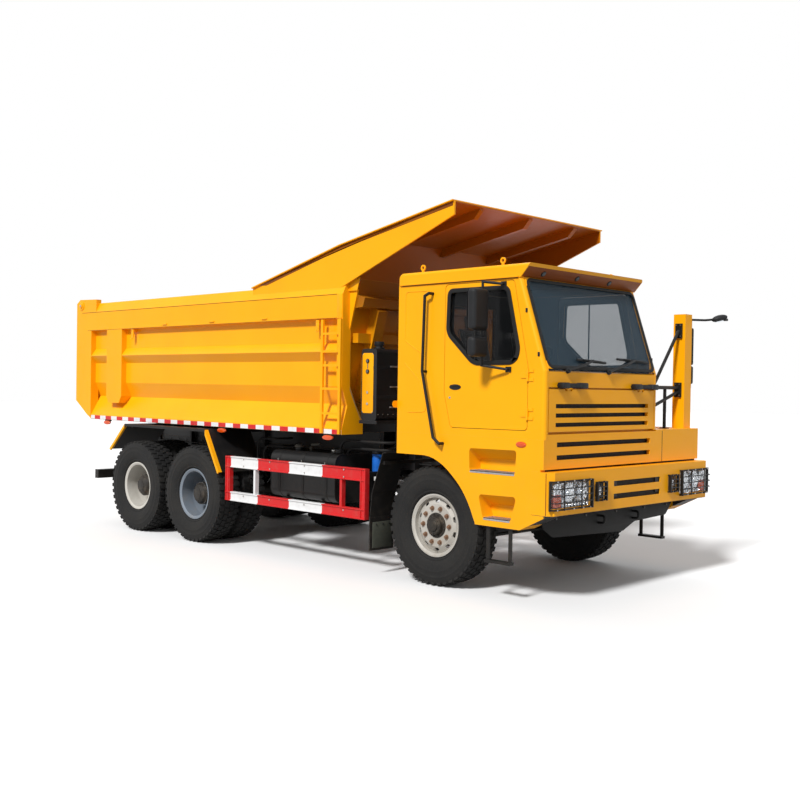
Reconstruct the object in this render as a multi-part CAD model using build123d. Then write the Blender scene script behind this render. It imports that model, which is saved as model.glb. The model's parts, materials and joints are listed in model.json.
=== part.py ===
from build123d import *
import math
import os

# A wide-body off-road dump truck. Sizes are in millimetres.
# The truck faces -Y, its right-hand side is -X and +Z is up.
# "u" is the distance ahead of the front axle, and y(u) turns it into Y.
# The origin lies on the ground under the middle of the truck.

# ---- whole truck ----
NOSE_U = 1800.0          # front of the lamp guards
TAIL_U = -8170.0         # back of the load bed
FRONT_AXLE_Y = (NOSE_U + TAIL_U) / 2
MIRROR_REACH = 1985.0    # half width over the mirrors
MIRROR_OFF = 116.5       # from the cab side to a mirror's inner edge
MIRROR_ROUND = 0.17      # share of a mirror's width
SEAT_GAP = 0.3           # between pieces that are bolted together
RUN_GAP = 0.05           # round pins and spindles
MOVE_GAP = 6.0           # between pieces that swing past each other

# ---- wheels and axles ----
WHEELBASE = 4500.0
BOGIE_SPREAD = 1500.0
TYRE_R = 685.0
TYRE_HALF_W = 187.0
TREAD_HALF_W = 158.0
RIM_SEAT_R = 335.0
RIM_FLANGE_R = 360.0
RIM_HALF_W = 140.0
RIM_PLATE = 12.0
AXLE_Z = TYRE_R
FRONT_TYRE_X = 1298.0
OUTER_TYRE_X = 1480.0
INNER_TYRE_X = 1045.0
TWIN_FACE_X = (OUTER_TYRE_X + INNER_TYRE_X) / 2
KINGPIN_X = 1080.0
KINGPIN_R = 32.0
SPINDLE_R = 60.0
MID_U = -WHEELBASE
REAR_U = -WHEELBASE - BOGIE_SPREAD
BOGIE_U = (MID_U + REAR_U) / 2

# ---- ladder frame ----
RAIL_OUT_X = 470.0
RAIL_FLANGE = 90.0
RAIL_PLATE = 12.0
RAIL_BOT_Z = 1040.0
RAIL_TOP_Z = 1390.0
RAIL_FRONT_U = 1480.0
RAIL_REAR_U = -7420.0
TOW_EYE_U = RAIL_REAR_U - 145
GUARD_X = 1600.0
GUARD_FRONT_U = -978.0
GUARD_REAR_U = -WHEELBASE + TYRE_R + 43
FUEL_FRONT_U = -1800.0
FUEL_REAR_U = GUARD_REAR_U + 680

# ---- front end ----
BUMPER_U = 1752.0
BUMPER_HALF_W = 1619.0
BUMPER_BOT_Z = 964.0
BUMPER_TOP_Z = 1412.0
BUMPER_BACK_U = 1500.0
BUMPER_PLATE = 10.0
BUMPER_BEVEL = 60.0
PANEL_SEAM = 22.0        # dark gap above the bumper
PANEL_U = 1650.0
DECK_TOP_Z = 1806.0
DECK_LEFT_X = 1533.5
STEP_BOT_Z = 788.0

# ---- cab ----
CAB_RIGHT_X = -1618.5
CAB_LEFT_X = 555.0
CAB_MID_X = (CAB_RIGHT_X + CAB_LEFT_X) / 2
CAB_HALF_W = (CAB_LEFT_X - CAB_RIGHT_X) / 2
CAB_WALL = 60.0
CAB_BACK_U = -447.5
CAB_BOT_Z = 1494.0
CAB_FLOOR_Z = 1800.0
CAB_FLOOR_PLATE = 60.0
GUTTER_Z = 3420.0
ROOF_TOP_Z = 3564.0
EYE_Z = ROOF_TOP_Z + 52   # middle of a lifting eye
CORNER_ROUND = 40.0      # front corners of the cab
VISOR_U = 1420.0
SCREEN_LOW = (1652.0, 2450.0)
SCREEN_HIGH = (1323.0, GUTTER_Z)
HOOD_BOT_Z = 1819.0
HOOD_TOP_Z = 2262.0
HOOD_THICK = 40.0
ROOF_ROUND = 70.0
HOOD_HINGE = (1644.0, 2266.0)
COWL_LOW_Z = 2280.0
HOOD_HINGE_X = (-1200.0, 200.0)
HOOD_RIGHT_X = -1543.0
HOOD_LEFT_X = 489.0

# ---- load bed ----
BED_FRONT_U = -1548.0
BED_REAR_U = -8161.0
BED_BOT_REAR_U = -7685.0
BED_HINGE = (-7250.0, 1480.0)
BED_PIN_R = 40.0
BED_OUT_X = 1489.0
BED_WALL_X = 1400.0
BED_IN_X = 1350.0
BED_PEAK_X = 1427.0
BED_BOT_Z = 1650.0
BED_FLOOR_Z = 1800.0
FLOOR_THICK = 20.0
BED_RAIL_BOT_Z = 3102.0
BED_RAIL_TOP_Z = 3405.0
BED_EAVE_Z = 3456.0
BED_PEAK_Z = 3550.0
SILL_IN_X = 390.0
SILL_OUT_X = 460.0
HEAD_LOW = (-1896.0, 1700.0)
HEAD_HIGH = (-1370.0, 3600.0)
HEAD_THICK = 20.0
HEAD_TOP_Z = 3580.0
CANOPY_TOP_Z = 4367.0
CANOPY_FRONT = (236.0, CANOPY_TOP_Z - 167)
CANOPY_HALF_W = 1457.0
CANOPY_PLATE = 24.0
WING_TAIL = (-3404.0, 3578.0)
WING_BEND = (-1645.0, WING_TAIL[1] + 0.555 * (CANOPY_TOP_Z - WING_TAIL[1]))
GATE_HINGE = (-8000.0, 3570.0)

# ---- hoist ----
HOIST_BASE = (-1180.0, 1150.0)
HOIST_EYE = (-1350.0, 2950.0)
HOIST_R = (110.0, 88.0, 68.0, 48.0)


def y(u):
    """Row Y of a point that lies u ahead of the front axle."""
    return FRONT_AXLE_Y - u


def block(x0, x1, u0, u1, z0, z1):
    """Upright block between two values of X, u and Z."""
    middle = Pos((x0 + x1) / 2, y((u0 + u1) / 2), (z0 + z1) / 2)
    return middle * Box(abs(x1 - x0), abs(u1 - u0), abs(z1 - z0))


def side_plate(points, x0, x1):
    """Outline of (u, z) points, swept from x0 to x1."""
    low, high = min(x0, x1), max(x0, x1)
    wire = Wire.make_polygon([Vector(low, y(u), z) for u, z in points], close=True)
    return extrude(Face(wire), amount=high - low, dir=(1, 0, 0))


def rounded(points, r, x0, x1):
    """As side_plate, with every corner of the outline rounded."""
    plate = side_plate(points, x0, x1)
    return fillet(plate.edges().filter_by(Axis.X), r)


def tapered(outer, inner, x0, x1):
    """Pocket that narrows from one (u, z) outline at x0 to another at x1."""
    faces = []
    for points, x in ((outer, x0), (inner, x1)):
        faces.append(Face(Wire.make_polygon([Vector(x, y(u), z) for u, z in points], close=True)))
    return loft(faces)


def group(*shapes):
    """Several shapes as one node of separate solids."""
    return Compound(children=[solid for shape in shapes for solid in shape.solids()])


def cross_plate(points, u0, u1):
    """Outline of (x, z) points, swept from u0 back to u1."""
    front, back = max(u0, u1), min(u0, u1)
    wire = Wire.make_polygon([Vector(x, y(front), z) for x, z in points], close=True)
    return extrude(Face(wire), amount=front - back, dir=(0, 1, 0))


def flat_plate(points, z0, z1):
    """Outline of (x, u) points, swept from z0 up to z1."""
    wire = Wire.make_polygon([Vector(x, y(u), z0) for x, u in points], close=True)
    return extrude(Face(wire), amount=z1 - z0, dir=(0, 0, 1))


def rod(a, b, r):
    """Round bar between two (x, u, z) points."""
    start = Vector(a[0], y(a[1]), a[2])
    way = Vector(b[0], y(b[1]), b[2]) - start
    return Solid.make_cylinder(r, way.length, Plane(origin=start, z_dir=way))


def pipe(points, r):
    """Round bar bent through a list of (x, u, z) points."""
    bends = [Vector(x, y(u), z) for x, u, z in points]
    path = Wire.make_polygon(bends, close=False)
    section = Plane(origin=bends[0], z_dir=bends[1] - bends[0]) * Circle(r)
    return sweep(section, path=path, transition=Transition.RIGHT)


def turned(profile, u, z):
    """Revolve a profile of (x, radius) points about an X axis at u, z."""
    wire = Wire.make_polygon([Vector(x, y(u), z + r) for x, r in profile], close=True)
    return revolve(Face(wire), axis=Axis((0, y(u), z), (1, 0, 0)))


def drum(x0, x1, r, u, z, bore=0.0):
    """Cylinder along X, with an optional bore."""
    low, high = min(x0, x1), max(x0, x1)
    return turned([(low, bore), (high, bore), (high, r), (low, r)], u, z)


def inset(points, by):
    """Closed outline moved inwards by a distance; a negative one moves it outwards."""
    area = sum(p[0] * q[1] - q[0] * p[1] for p, q in zip(points, points[1:] + points[:1]))
    turn = 1 if area > 0 else -1
    lines = []
    for p, q in zip(points, points[1:] + points[:1]):
        reach = math.hypot(q[0] - p[0], q[1] - p[1])
        du, dz = (q[0] - p[0]) / reach, (q[1] - p[1]) / reach
        lines.append((p[0] - dz * by * turn, p[1] + du * by * turn, du, dz))
    moved = []
    for (au, az, adu, adz), (bu, bz, bdu, bdz) in zip(lines[-1:] + lines[:-1], lines):
        t = ((bu - au) * bdz - (bz - az) * bdu) / (adu * bdz - adz * bdu)
        moved.append((au + adu * t, az + adz * t))
    return moved


def other_side(shape, middle=0.0):
    """Mirror image across the plane X = middle."""
    return Pos(2 * middle, 0, 0) * mirror(shape, about=Plane.YZ)


def both_sides(shape):
    """The shape and its mirror image, as one group."""
    return Compound(children=[*shape.solids(), *other_side(shape).solids()])


# ------------------------------------------------------------------ wheels
def tyre(x, u):
    """One tyre, a closed ring that sits on the rim between its flanges."""
    bead_x = RIM_HALF_W - RIM_PLATE - 10
    half = [
        (bead_x, RIM_SEAT_R + SEAT_GAP),
        (bead_x, RIM_FLANGE_R + 4),
        (RIM_HALF_W + 4, RIM_FLANGE_R + 12),
        (TYRE_HALF_W - 12, 430.0),
        (TYRE_HALF_W, 510.0),
        (TYRE_HALF_W - 4, 580.0),
        (TREAD_HALF_W + 16, 640.0),
        (TREAD_HALF_W, TYRE_R - 8),
        (TREAD_HALF_W - 22, TYRE_R),
    ]
    ring = [(x + a, r) for a, r in half] + [(x - a, r) for a, r in reversed(half)]
    return turned(ring, u, AXLE_Z)


def rim_barrel(x, u):
    """Rolled rim ring with a flange at each edge."""
    half = [
        (RIM_HALF_W, RIM_FLANGE_R),
        (RIM_HALF_W - RIM_PLATE, RIM_FLANGE_R),
        (RIM_HALF_W - RIM_PLATE - 6, RIM_SEAT_R),
    ]
    outer = [(x + a, r) for a, r in half] + [(x - a, r) for a, r in reversed(half)]
    inner = [
        (x - RIM_HALF_W, RIM_FLANGE_R - 16),
        (x - RIM_HALF_W + 14, RIM_SEAT_R - 16),
        (x + RIM_HALF_W - 14, RIM_SEAT_R - 16),
        (x + RIM_HALF_W, RIM_FLANGE_R - 16),
    ]
    return turned(outer + inner, u, AXLE_Z)


def front_rim():
    """Left front rim: barrel, dished disc with hand holes, hub and drum."""
    face_x = FRONT_TYRE_X + 96
    disc = turned([
        (face_x - 40, RIM_SEAT_R - 14),
        (face_x - 26, RIM_SEAT_R - 14),
        (face_x + 14, 245.0),
        (face_x + 14, 120.0),
        (face_x, 120.0),
        (face_x, 240.0),
    ], 0, AXLE_Z)
    slot = extrude(SlotCenterToCenter(34, 34, rotation=90), amount=100, both=True)
    holes = [Rot(360.0 * k / 10, 0, 0) * Pos(0, 0, 276) * Rot(0, 90, 0) * slot for k in range(10)]
    disc = disc - [Pos(face_x, y(0), AXLE_Z) * h for h in holes]
    hub = drum(FRONT_TYRE_X - 110, face_x + 14, 125.0, 0, AXLE_Z, SPINDLE_R + RUN_GAP)
    hub += turned([
        (face_x + 14, SPINDLE_R + RUN_GAP),
        (face_x + 14, 118.0),
        (face_x + 60, 100.0),
        (face_x + 72, 60.0),
        (face_x + 72, 0.0),
        (face_x + 50, 0.0),
        (face_x + 50, SPINDLE_R + RUN_GAP),
    ], 0, AXLE_Z)
    hub += drum(FRONT_TYRE_X - 108, FRONT_TYRE_X + 60, 250.0, 0, AXLE_Z, 228.0)
    hub += drum(FRONT_TYRE_X + 46, FRONT_TYRE_X + 60, 250.0, 0, AXLE_Z, 110.0)
    return rim_barrel(FRONT_TYRE_X, 0) + disc + hub


def rear_rims(u):
    """Left twin rims on one hub: two dished discs meet between the tyres."""
    body = rim_barrel(OUTER_TYRE_X, u) + rim_barrel(INNER_TYRE_X, u)
    for sign, x in ((1, OUTER_TYRE_X), (-1, INNER_TYRE_X)):
        face = TWIN_FACE_X
        edge = x - sign * 60
        body += turned([
            (edge, RIM_SEAT_R - 14),
            (edge + sign * 14, RIM_SEAT_R - 14),
            (face + sign * 26, 290.0),
            (face + sign * 14, 250.0),
            (face + sign * 14, 150.0),
            (face, 150.0),
            (face, 262.0),
            (face + sign * 10, 300.0),
        ], u, AXLE_Z)
    bore = SPINDLE_R + RUN_GAP
    body += drum(INNER_TYRE_X - 160, OUTER_TYRE_X + 20, 160.0, u, AXLE_Z, bore)
    body += turned([
        (OUTER_TYRE_X + 20, 0.0),
        (OUTER_TYRE_X + 20, 150.0),
        (OUTER_TYRE_X + 60, 125.0),
        (OUTER_TYRE_X + 80, 90.0),
        (OUTER_TYRE_X + 80, 0.0),
    ], u, AXLE_Z)
    body += drum(INNER_TYRE_X - 158, TWIN_FACE_X - 20, 250.0, u, AXLE_Z, 228.0)
    body += drum(TWIN_FACE_X - 34, TWIN_FACE_X - 20, 250.0, u, AXLE_Z, 150.0)
    return body


# ------------------------------------------------------------------ axles
def knuckle():
    """Left steering knuckle: forked block, spindle and steering arm."""
    x = KINGPIN_X
    boss_low = AXLE_Z - 80
    boss_high = AXLE_Z + 80
    ears = block(x - 55, x + 62, 60, -60, boss_high + SEAT_GAP, boss_high + 55)
    ears += block(x - 55, x + 62, 60, -60, boss_low - 55, boss_low - SEAT_GAP)
    web = block(x + 62, x + 82, 90, -90, boss_low - 55, boss_high + 55)
    spindle = drum(x + 82, FRONT_TYRE_X + 140, SPINDLE_R, 0, AXLE_Z)
    arm = flat_plate([
        (x - 50, -55), (x + 50, -55), (x + 10, -170),
        (x - 55, -275), (x - 125, -275), (x - 125, -215),
    ], boss_low - 55, boss_low - 25)
    bore = Pos(x, y(0), AXLE_Z) * Cylinder(KINGPIN_R + RUN_GAP, 400)
    return (ears + web + arm - bore) + spindle


def front_axle():
    """Dropped I-beam with its king pins."""
    half = side_plate([
        (-55, 470), (55, 470), (55, 495), (14, 500), (14, 610), (55, 615),
        (55, 640), (-55, 640), (-55, 615), (-14, 610), (-14, 500), (-55, 495),
    ], 0, 900)
    half += cross_plate([(860, 470), (KINGPIN_X - 92, AXLE_Z - 60), (KINGPIN_X - 40, AXLE_Z - 60),
                         (KINGPIN_X - 40, AXLE_Z + 60), (860, 640)], 50, -50)
    half += Pos(KINGPIN_X, y(0), AXLE_Z) * Cylinder(56, 160)
    half += Pos(KINGPIN_X, y(0), AXLE_Z) * Cylinder(KINGPIN_R, 290)
    return half + other_side(half)


def tie_rod():
    """Track rod whose eyes lie just under the steering arms."""
    top = AXLE_Z - 135 - SEAT_GAP
    half = rod((0, -240, top - 28), (KINGPIN_X - 120, -240, top - 28), 26)
    half += Pos(KINGPIN_X - 90, y(-240), top - 28) * Cylinder(38, 56)
    return half + other_side(half)


def leaf_packs():
    """Front leaf springs, and the bogie's inverted packs on their saddles."""
    groups = []
    for leaf in range(6):
        low = 640 + SEAT_GAP + leaf * 22
        reach = 320 + leaf * 90
        groups.append(block(385, 475, reach, -reach, low, low + 22))
    front = groups[0]
    for g in groups[1:]:
        front += g
    front += block(395, 465, 700, 660, low, RAIL_BOT_Z - SEAT_GAP)
    front += block(395, 465, -660, -700, low, RAIL_BOT_Z - SEAT_GAP)
    rear = None
    for leaf in range(8):
        low = 820 + leaf * 24
        reach = 760 - leaf * 70
        piece = block(500, 610, BOGIE_U + reach, BOGIE_U - reach, low, low + 24)
        rear = piece if rear is None else rear + piece
    rear += block(505, 605, BOGIE_U + 120, BOGIE_U - 120, 600, 820)
    rear += drum(RAIL_OUT_X + SEAT_GAP, 620, 90, BOGIE_U, 690)
    rear += block(RAIL_OUT_X + SEAT_GAP, 505, BOGIE_U + 150, BOGIE_U - 150, 600, 1200)
    return both_sides(Compound(children=[*front.solids(), *rear.solids()]))


def drive_axles():
    """Two banjo axle housings with their hub spindles."""
    group = []
    for u in (MID_U, REAR_U):
        half = drum(0, INNER_TYRE_X - 166, 95, u, AXLE_Z)
        half += drum(INNER_TYRE_X - 190, INNER_TYRE_X - 166, 150, u, AXLE_Z)
        half += drum(INNER_TYRE_X - 170, OUTER_TYRE_X + 10, SPINDLE_R, u, AXLE_Z)
        half += turned([(0, 0), (0, 250), (90, 235), (190, 150), (260, 95), (260, 0)], u, AXLE_Z)
        half += block(505, 605, u + 60, u - 60, AXLE_Z + 60, 820 - SEAT_GAP)
        axle = half + other_side(half)
        axle += rod((0, u + 200, AXLE_Z + 30), (0, u + 330, AXLE_Z + 30), 110)
        group += axle.solids()
    return Compound(children=group)


def prop_shafts():
    """Shaft from the gearbox to the mid axle, with a flange at each end."""
    u0, z0 = -620 - SEAT_GAP, 960
    u1, z1 = MID_U + 330 + SEAT_GAP, AXLE_Z + 30
    shaft = rod((0, u0 - 30, z0), (0, u1 + 30, z1), 50)
    return shaft + rod((0, u0, z0), (0, u0 - 40, z0), 75) + rod((0, u1 + 40, z1), (0, u1, z1), 75)


def engine():
    """Engine and gearbox, closed in, as one plain block each."""
    body = block(-360, 360, 1150, 60, 900, 1690)
    body += block(-230, 230, 60, -620, 780, 1330)
    body += block(-RAIL_OUT_X + RAIL_PLATE + 1, RAIL_OUT_X - RAIL_PLATE - 1, 700, 600, 1110, 1200)
    return body


# ------------------------------------------------------------------ chassis
def frame_rail():
    """Left rail: a channel open towards the middle."""
    x1 = RAIL_OUT_X
    x0 = RAIL_OUT_X - RAIL_FLANGE
    low, high = RAIL_BOT_Z, RAIL_TOP_Z
    inner = RAIL_PLATE
    return cross_plate([
        (x0, low), (x1, low), (x1, high), (x0, high), (x0, high - inner),
        (x1 - inner, high - inner), (x1 - inner, low + inner), (x0, low + inner),
    ], RAIL_FRONT_U, RAIL_REAR_U)


def ladder_frame():
    """Two rails with their cross members, bed hinges, rear bar and hoist cradle."""
    rail = frame_rail()
    members = [cross_member(u, wide) for u, wide in
               ((-2400, 120), (-3500, 120), (BOGIE_U, 240), (-6600, 120))]
    return group(rail, other_side(rail), front_member(), hinge_member(), rear_bar(), hoist_seat(),
                 *members)


def cross_member(u, wide):
    """Box beam between the webs of the two rails."""
    reach = RAIL_OUT_X - RAIL_PLATE - SEAT_GAP
    return block(-reach, reach, u + wide / 2, u - wide / 2, RAIL_BOT_Z + 40, RAIL_TOP_Z - 40)


def front_member():
    """First cross member, with the two arms that carry the bumper."""
    reach = RAIL_OUT_X - RAIL_PLATE - SEAT_GAP
    low, high = RAIL_BOT_Z + RAIL_PLATE + SEAT_GAP, RAIL_TOP_Z - RAIL_PLATE - SEAT_GAP
    body = block(-reach, reach, RAIL_FRONT_U + 30, RAIL_FRONT_U - 120, low, high)
    body -= block(-reach + 40, reach - 40, RAIL_FRONT_U + 15, RAIL_FRONT_U - 130, low + 15, high - 15)
    for x in (-430, 430):
        body += block(x - 35, x + 35, BUMPER_U - BUMPER_PLATE - SEAT_GAP, RAIL_FRONT_U + SEAT_GAP,
                      1100, 1300)
    return body


def hinge_member():
    """Last cross member, with the bed's hinge ears and a towing eye."""
    hu, hz = BED_HINGE
    reach = RAIL_OUT_X - RAIL_PLATE - SEAT_GAP
    low, high = RAIL_BOT_Z + RAIL_PLATE + SEAT_GAP, RAIL_TOP_Z - RAIL_PLATE - SEAT_GAP
    body = block(-reach, reach, hu + 170, RAIL_REAR_U, low, high)
    flange_x = RAIL_OUT_X - RAIL_FLANGE - SEAT_GAP
    ear = side_plate([(hu + 120, high - 20), (hu + 55, hz + 60), (hu - 55, hz + 60),
                      (hu - 120, high - 20)], SILL_IN_X - 40, flange_x)
    ear += side_plate([(hu + 130, 1300), (hu + 55, hz + 60), (hu - 55, hz + 60), (hu - 130, 1300)],
                      RAIL_OUT_X + SEAT_GAP, SILL_OUT_X + 40)
    ear += drum(SILL_IN_X - 60, SILL_OUT_X + 60, BED_PIN_R, hu, hz)
    body += ear + other_side(ear)
    body += block(-60, 60, RAIL_REAR_U + 10, TOW_EYE_U - 60, 1130, 1190)
    return body - Pos(0, y(TOW_EYE_U), 1160) * Cylinder(32, 200)


def rear_bar():
    """Rear guard bar, hung from the rails on two brackets."""
    half = cross_plate([(0, 690), (1490, 690), (1490, 830), (0, 830)], RAIL_REAR_U + 20, -7500)
    half -= block(-5, 1400, -7412, -7510, 702, 818)
    half += side_plate([(-7290, 1290), (-7415, 1290), (-7415, 700), (-7400, 700), (-7380, 900)],
                       RAIL_OUT_X + SEAT_GAP, RAIL_OUT_X + 30)
    return half + other_side(half)


def hoist_seat():
    """Cradle between the rails that carries the hoist's trunnions."""
    u, z = HOIST_BASE
    inside = RAIL_OUT_X - RAIL_PLATE - SEAT_GAP
    half = block(0, inside, u + 218, u + 178, 1070, 1230)
    half += block(0, inside, u - 178, u - 218, 1070, 1230)
    half += block(152, 192, u + 218, u - 218, 1070, 1230)
    half -= drum(140, 200, 40 + RUN_GAP, u, z)
    return half + other_side(half)


def tanks():
    """Fuel tank on the right rail and the hoist's oil tank behind the cab."""
    fuel = block(-1350, -620, FUEL_FRONT_U, FUEL_REAR_U, 764, 1383)
    fuel = fillet(fuel.edges().filter_by(Axis.Y), 110)
    fuel += Pos(-1100, y(FUEL_FRONT_U - 200), 1400) * Cylinder(55, 70)
    places = (FUEL_FRONT_U - 300, FUEL_REAR_U + 292)
    straps = [block(-1362, -RAIL_OUT_X - SEAT_GAP, u + 30, u - 30, 752, 764) for u in places]
    straps += [block(-620, -RAIL_OUT_X - SEAT_GAP, u + 40, u - 40, 760, 1300) for u in places]
    oil = block(-1330, -560, -1095, -1362, 1840, 2720)
    oil = fillet(oil.edges().filter_by(Axis.X), 40)
    oil += Pos(-1200, y(-1190), 2750) * Cylinder(48, 110)
    shelf = block(-1340, -RAIL_OUT_X - SEAT_GAP, -1075, -1385, 1800, 1840)
    shelf += block(-600, -RAIL_OUT_X - SEAT_GAP, -1120, -1340, 1200, 1800)
    for s in straps:
        fuel += s
    return Compound(children=[*fuel.solids(), *(oil + shelf).solids()])


def side_guards():
    """Painted side rails between the wheels, on stand-off brackets."""
    outer = -GUARD_X
    u0, u1, low, high = GUARD_FRONT_U, GUARD_REAR_U, 660, 1270
    guard = block(outer, outer + 60, u0, u1, low, low + 125)
    guard += block(outer, outer + 60, u0, u1, high - 150, high)
    for u, wide in ((u0, 90), (u0 - 419, 40), (u1 + 662, 40), (u1 + 90, 90)):
        guard += block(outer, outer + 60, u, u - wide, low, high)
    for u in (u0 - 382, u1 + 592):
        guard += block(outer + 60, -RAIL_OUT_X - SEAT_GAP, u + 30, u - 30, 1130, 1190)
    return both_sides(guard)


def mudguards():
    """Front flaps and rear wheel arches, each with a turned edge and stays."""
    shell = [(-640, 1490), (-700, 1480), (-870, 1000), (-905, 660), (-899, 660),
             (-863, 1000), (-693, 1474), (-640, 1484)]
    front = side_plate(shell, 1200, 1600)
    front += block(1200, 1600, -892, -908, 300, 700)
    front += block(RAIL_OUT_X + SEAT_GAP, 1560, -700, -740, 1340, 1380)
    a, d = MID_U, REAR_U
    arch = [(a + 639, 1038), (a + 294, 1620), (d - 328, 1620), (d - 764, 1218),
            (d - 764, 1206), (d - 323, 1608), (a + 288, 1608), (a + 634, 1032)]
    rear = side_plate(arch, 870, 1660)
    edge = [(a + 639, 1038), (a + 294, 1620), (d - 328, 1620), (d - 764, 1218),
            (d - 738, 1190), (d - 312, 1582), (a + 273, 1582), (a + 610, 1014)]
    rear += side_plate(edge, 1640, 1660)
    for u in (a + 200, d - 200):
        rear += block(RAIL_OUT_X + SEAT_GAP, 1600, u + 25, u - 25, 1562, 1612)
        rear += block(RAIL_OUT_X + SEAT_GAP, RAIL_OUT_X + 60, u + 25, u - 25, 1260, 1562)
    return both_sides(group(front, rear))


# ------------------------------------------------------------------ front end
LAMPS = (  # inner x, outer x, low z, high z
    (BUMPER_HALF_W - 679, BUMPER_HALF_W - 23, 1042, 1306),
    (BUMPER_HALF_W - 947, BUMPER_HALF_W - 781, 1096, 1264),
)
GUARD_BARS = (  # upright bars of each lamp guard
    (BUMPER_HALF_W - 479, BUMPER_HALF_W - 172),
    (BUMPER_HALF_W - 865,),
)


def nose_line(x0, x1, off):
    """Points (x, u) along the bumper's face and bevel, a distance ahead of it."""
    corner = BUMPER_HALF_W - BUMPER_BEVEL
    shift = off * math.tan(math.radians(22.5))
    line = [(x0, BUMPER_U + off)]
    if x1 <= corner:
        return line + [(x1, BUMPER_U + off)]
    line.append((corner + shift, BUMPER_U + off))
    end = x1 + off * 0.7
    return line + [(end, BUMPER_U + off - (end - corner - shift))]


def nose_strip(x0, x1, z0, z1, front, back):
    """Plate between two offsets of the bumper's face, from x0 out to x1."""
    points = nose_line(x0, x1, front) + nose_line(x0, x1, back)[::-1]
    return flat_plate(points, z0, z1)


def bumper():
    """Deep pressed bumper with lamp wells and cooling slots."""
    w, t, bevel = BUMPER_HALF_W, BUMPER_PLATE, BUMPER_BEVEL
    outline = [(-w, BUMPER_BACK_U), (-w, BUMPER_U - bevel), (-w + bevel, BUMPER_U),
               (w - bevel, BUMPER_U), (w, BUMPER_U - bevel), (w, BUMPER_BACK_U)]
    body = flat_plate(outline, BUMPER_BOT_Z, BUMPER_TOP_Z)
    inner = [(-w + t, BUMPER_BACK_U - 10), (-w + t, BUMPER_U - bevel - t), (-w + bevel + t, BUMPER_U - t),
             (w - bevel - t, BUMPER_U - t), (w - t, BUMPER_U - bevel - t), (w - t, BUMPER_BACK_U - 10)]
    body -= flat_plate(inner, BUMPER_BOT_Z + t, BUMPER_TOP_Z - t)
    for x0, x1, low, high in LAMPS:
        well = nose_strip(x0, x1, low, high, 20, -60)
        body -= well
        body -= other_side(well)
    for low in (1072, 1212):
        body -= block(-474, 488, BUMPER_U + 10, BUMPER_U - 30, low, low + 60)
    return body


def lamps():
    """Head and fog lamps in their wells."""
    pieces = []
    for x0, x1, low, high in LAMPS:
        gap = SEAT_GAP
        pieces.append(nose_strip(x0 + gap, x1 - gap, low + gap, high - gap, -4, -55))
    return both_sides(group(*pieces))


def lamp_guards():
    """Wire cages over the lamps: a flat frame and a raised grid of bars."""
    pieces = []
    rise = NOSE_U - BUMPER_U
    for (x0, x1, low, high), bars in zip(LAMPS, GUARD_BARS):
        a, b, z0, z1 = x0 - 12, x1 + 8, low - 12, high + 12
        cage = nose_strip(a, b, z0 - 8, z0 + 8, 25, 13)
        cage += nose_strip(a, b, z1 - 8, z1 + 8, 25, 13)
        for k in (1, 2, 3):
            z = z0 + (z1 - z0) * k / 4
            cage += nose_strip(a, b, z - 5, z + 5, rise, rise - 10)
        for x in bars:
            cage += nose_strip(x - 5, x + 5, z0 - 8, z1 + 8, rise, rise - 10)
            cage += nose_strip(x - 5, x + 5, z0 - 8, z0 + 8, rise, 13)
            cage += nose_strip(x - 5, x + 5, z1 - 8, z1 + 8, rise, 13)
        ends = nose_strip(a, a + 16, z0 - 8, z1 + 8, rise, 13)
        tip = nose_line(a, b, 13)[-1]
        top = nose_line(a, b, rise)[-1]
        if b > BUMPER_HALF_W - BUMPER_BEVEL:
            ends += flat_plate([(tip[0] - 11, tip[1] + 11), tip, top, (top[0] - 11, top[1] + 11)],
                               z0 - 8, z1 + 8)
        else:
            ends += nose_strip(b - 16, b, z0 - 8, z1 + 8, rise, 13)
        for z in (z0, z1):
            ends += nose_strip(a, a + 16, z - 8, z + 8, 25, SEAT_GAP)
            ends += nose_strip(b - 90, b - 74, z - 8, z + 8, 25, SEAT_GAP)
        pieces.append(cage + ends)
    return both_sides(group(*pieces))


def grille_panel():
    """Fixed lower panel with its two cooling slots."""
    panel = block(CAB_RIGHT_X + CAB_WALL, DECK_LEFT_X, PANEL_U, PANEL_U - 40, BUMPER_TOP_Z + PANEL_SEAM,
                  DECK_TOP_Z - 12 - SEAT_GAP)
    panel -= block(687, 691, PANEL_U + 1, PANEL_U - 5, BUMPER_TOP_Z, DECK_TOP_Z)
    for high in (1711, 1577):
        panel -= block(-1395, 422, PANEL_U + 10, PANEL_U - 60, high - 52, high)
    panel += block(-300, 300, PANEL_U - 40, RAIL_FRONT_U - 80, BUMPER_TOP_Z + SEAT_GAP, 1450)
    panel += block(-300, 300, RAIL_FRONT_U - 10, RAIL_FRONT_U - 80, RAIL_TOP_Z - RAIL_PLATE, 1450)
    return panel


POCKET_DEEP = 180.0
POCKET_ROUND = 34.0
STEP_POCKETS = (  # outline at the skin, outline at the back of the pocket
    (((652, 1609), (1300, 1616), (1283, 1363), (661, 1364)),
     ((662, 1492), (1290, 1497), (1273, 1363), (671, 1364))),
    (((790, 1121), (1308, 1129), (1234, 869), (858, 869)),
     ((802, 1004), (1296, 1010), (1222, 869), (870, 869))),
)
ARCH = [(-20, CAB_BOT_Z), (60, 1484), (130, 1466), (200, 1437), (275, 1397), (340, 1352), (400, 1303),
        (460, 1250), (515, 1196), (565, 1137), (610, 1075), (650, 1010), (685, 945), (714, 880),
        (738, 830), (757, STEP_BOT_Z)]


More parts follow.
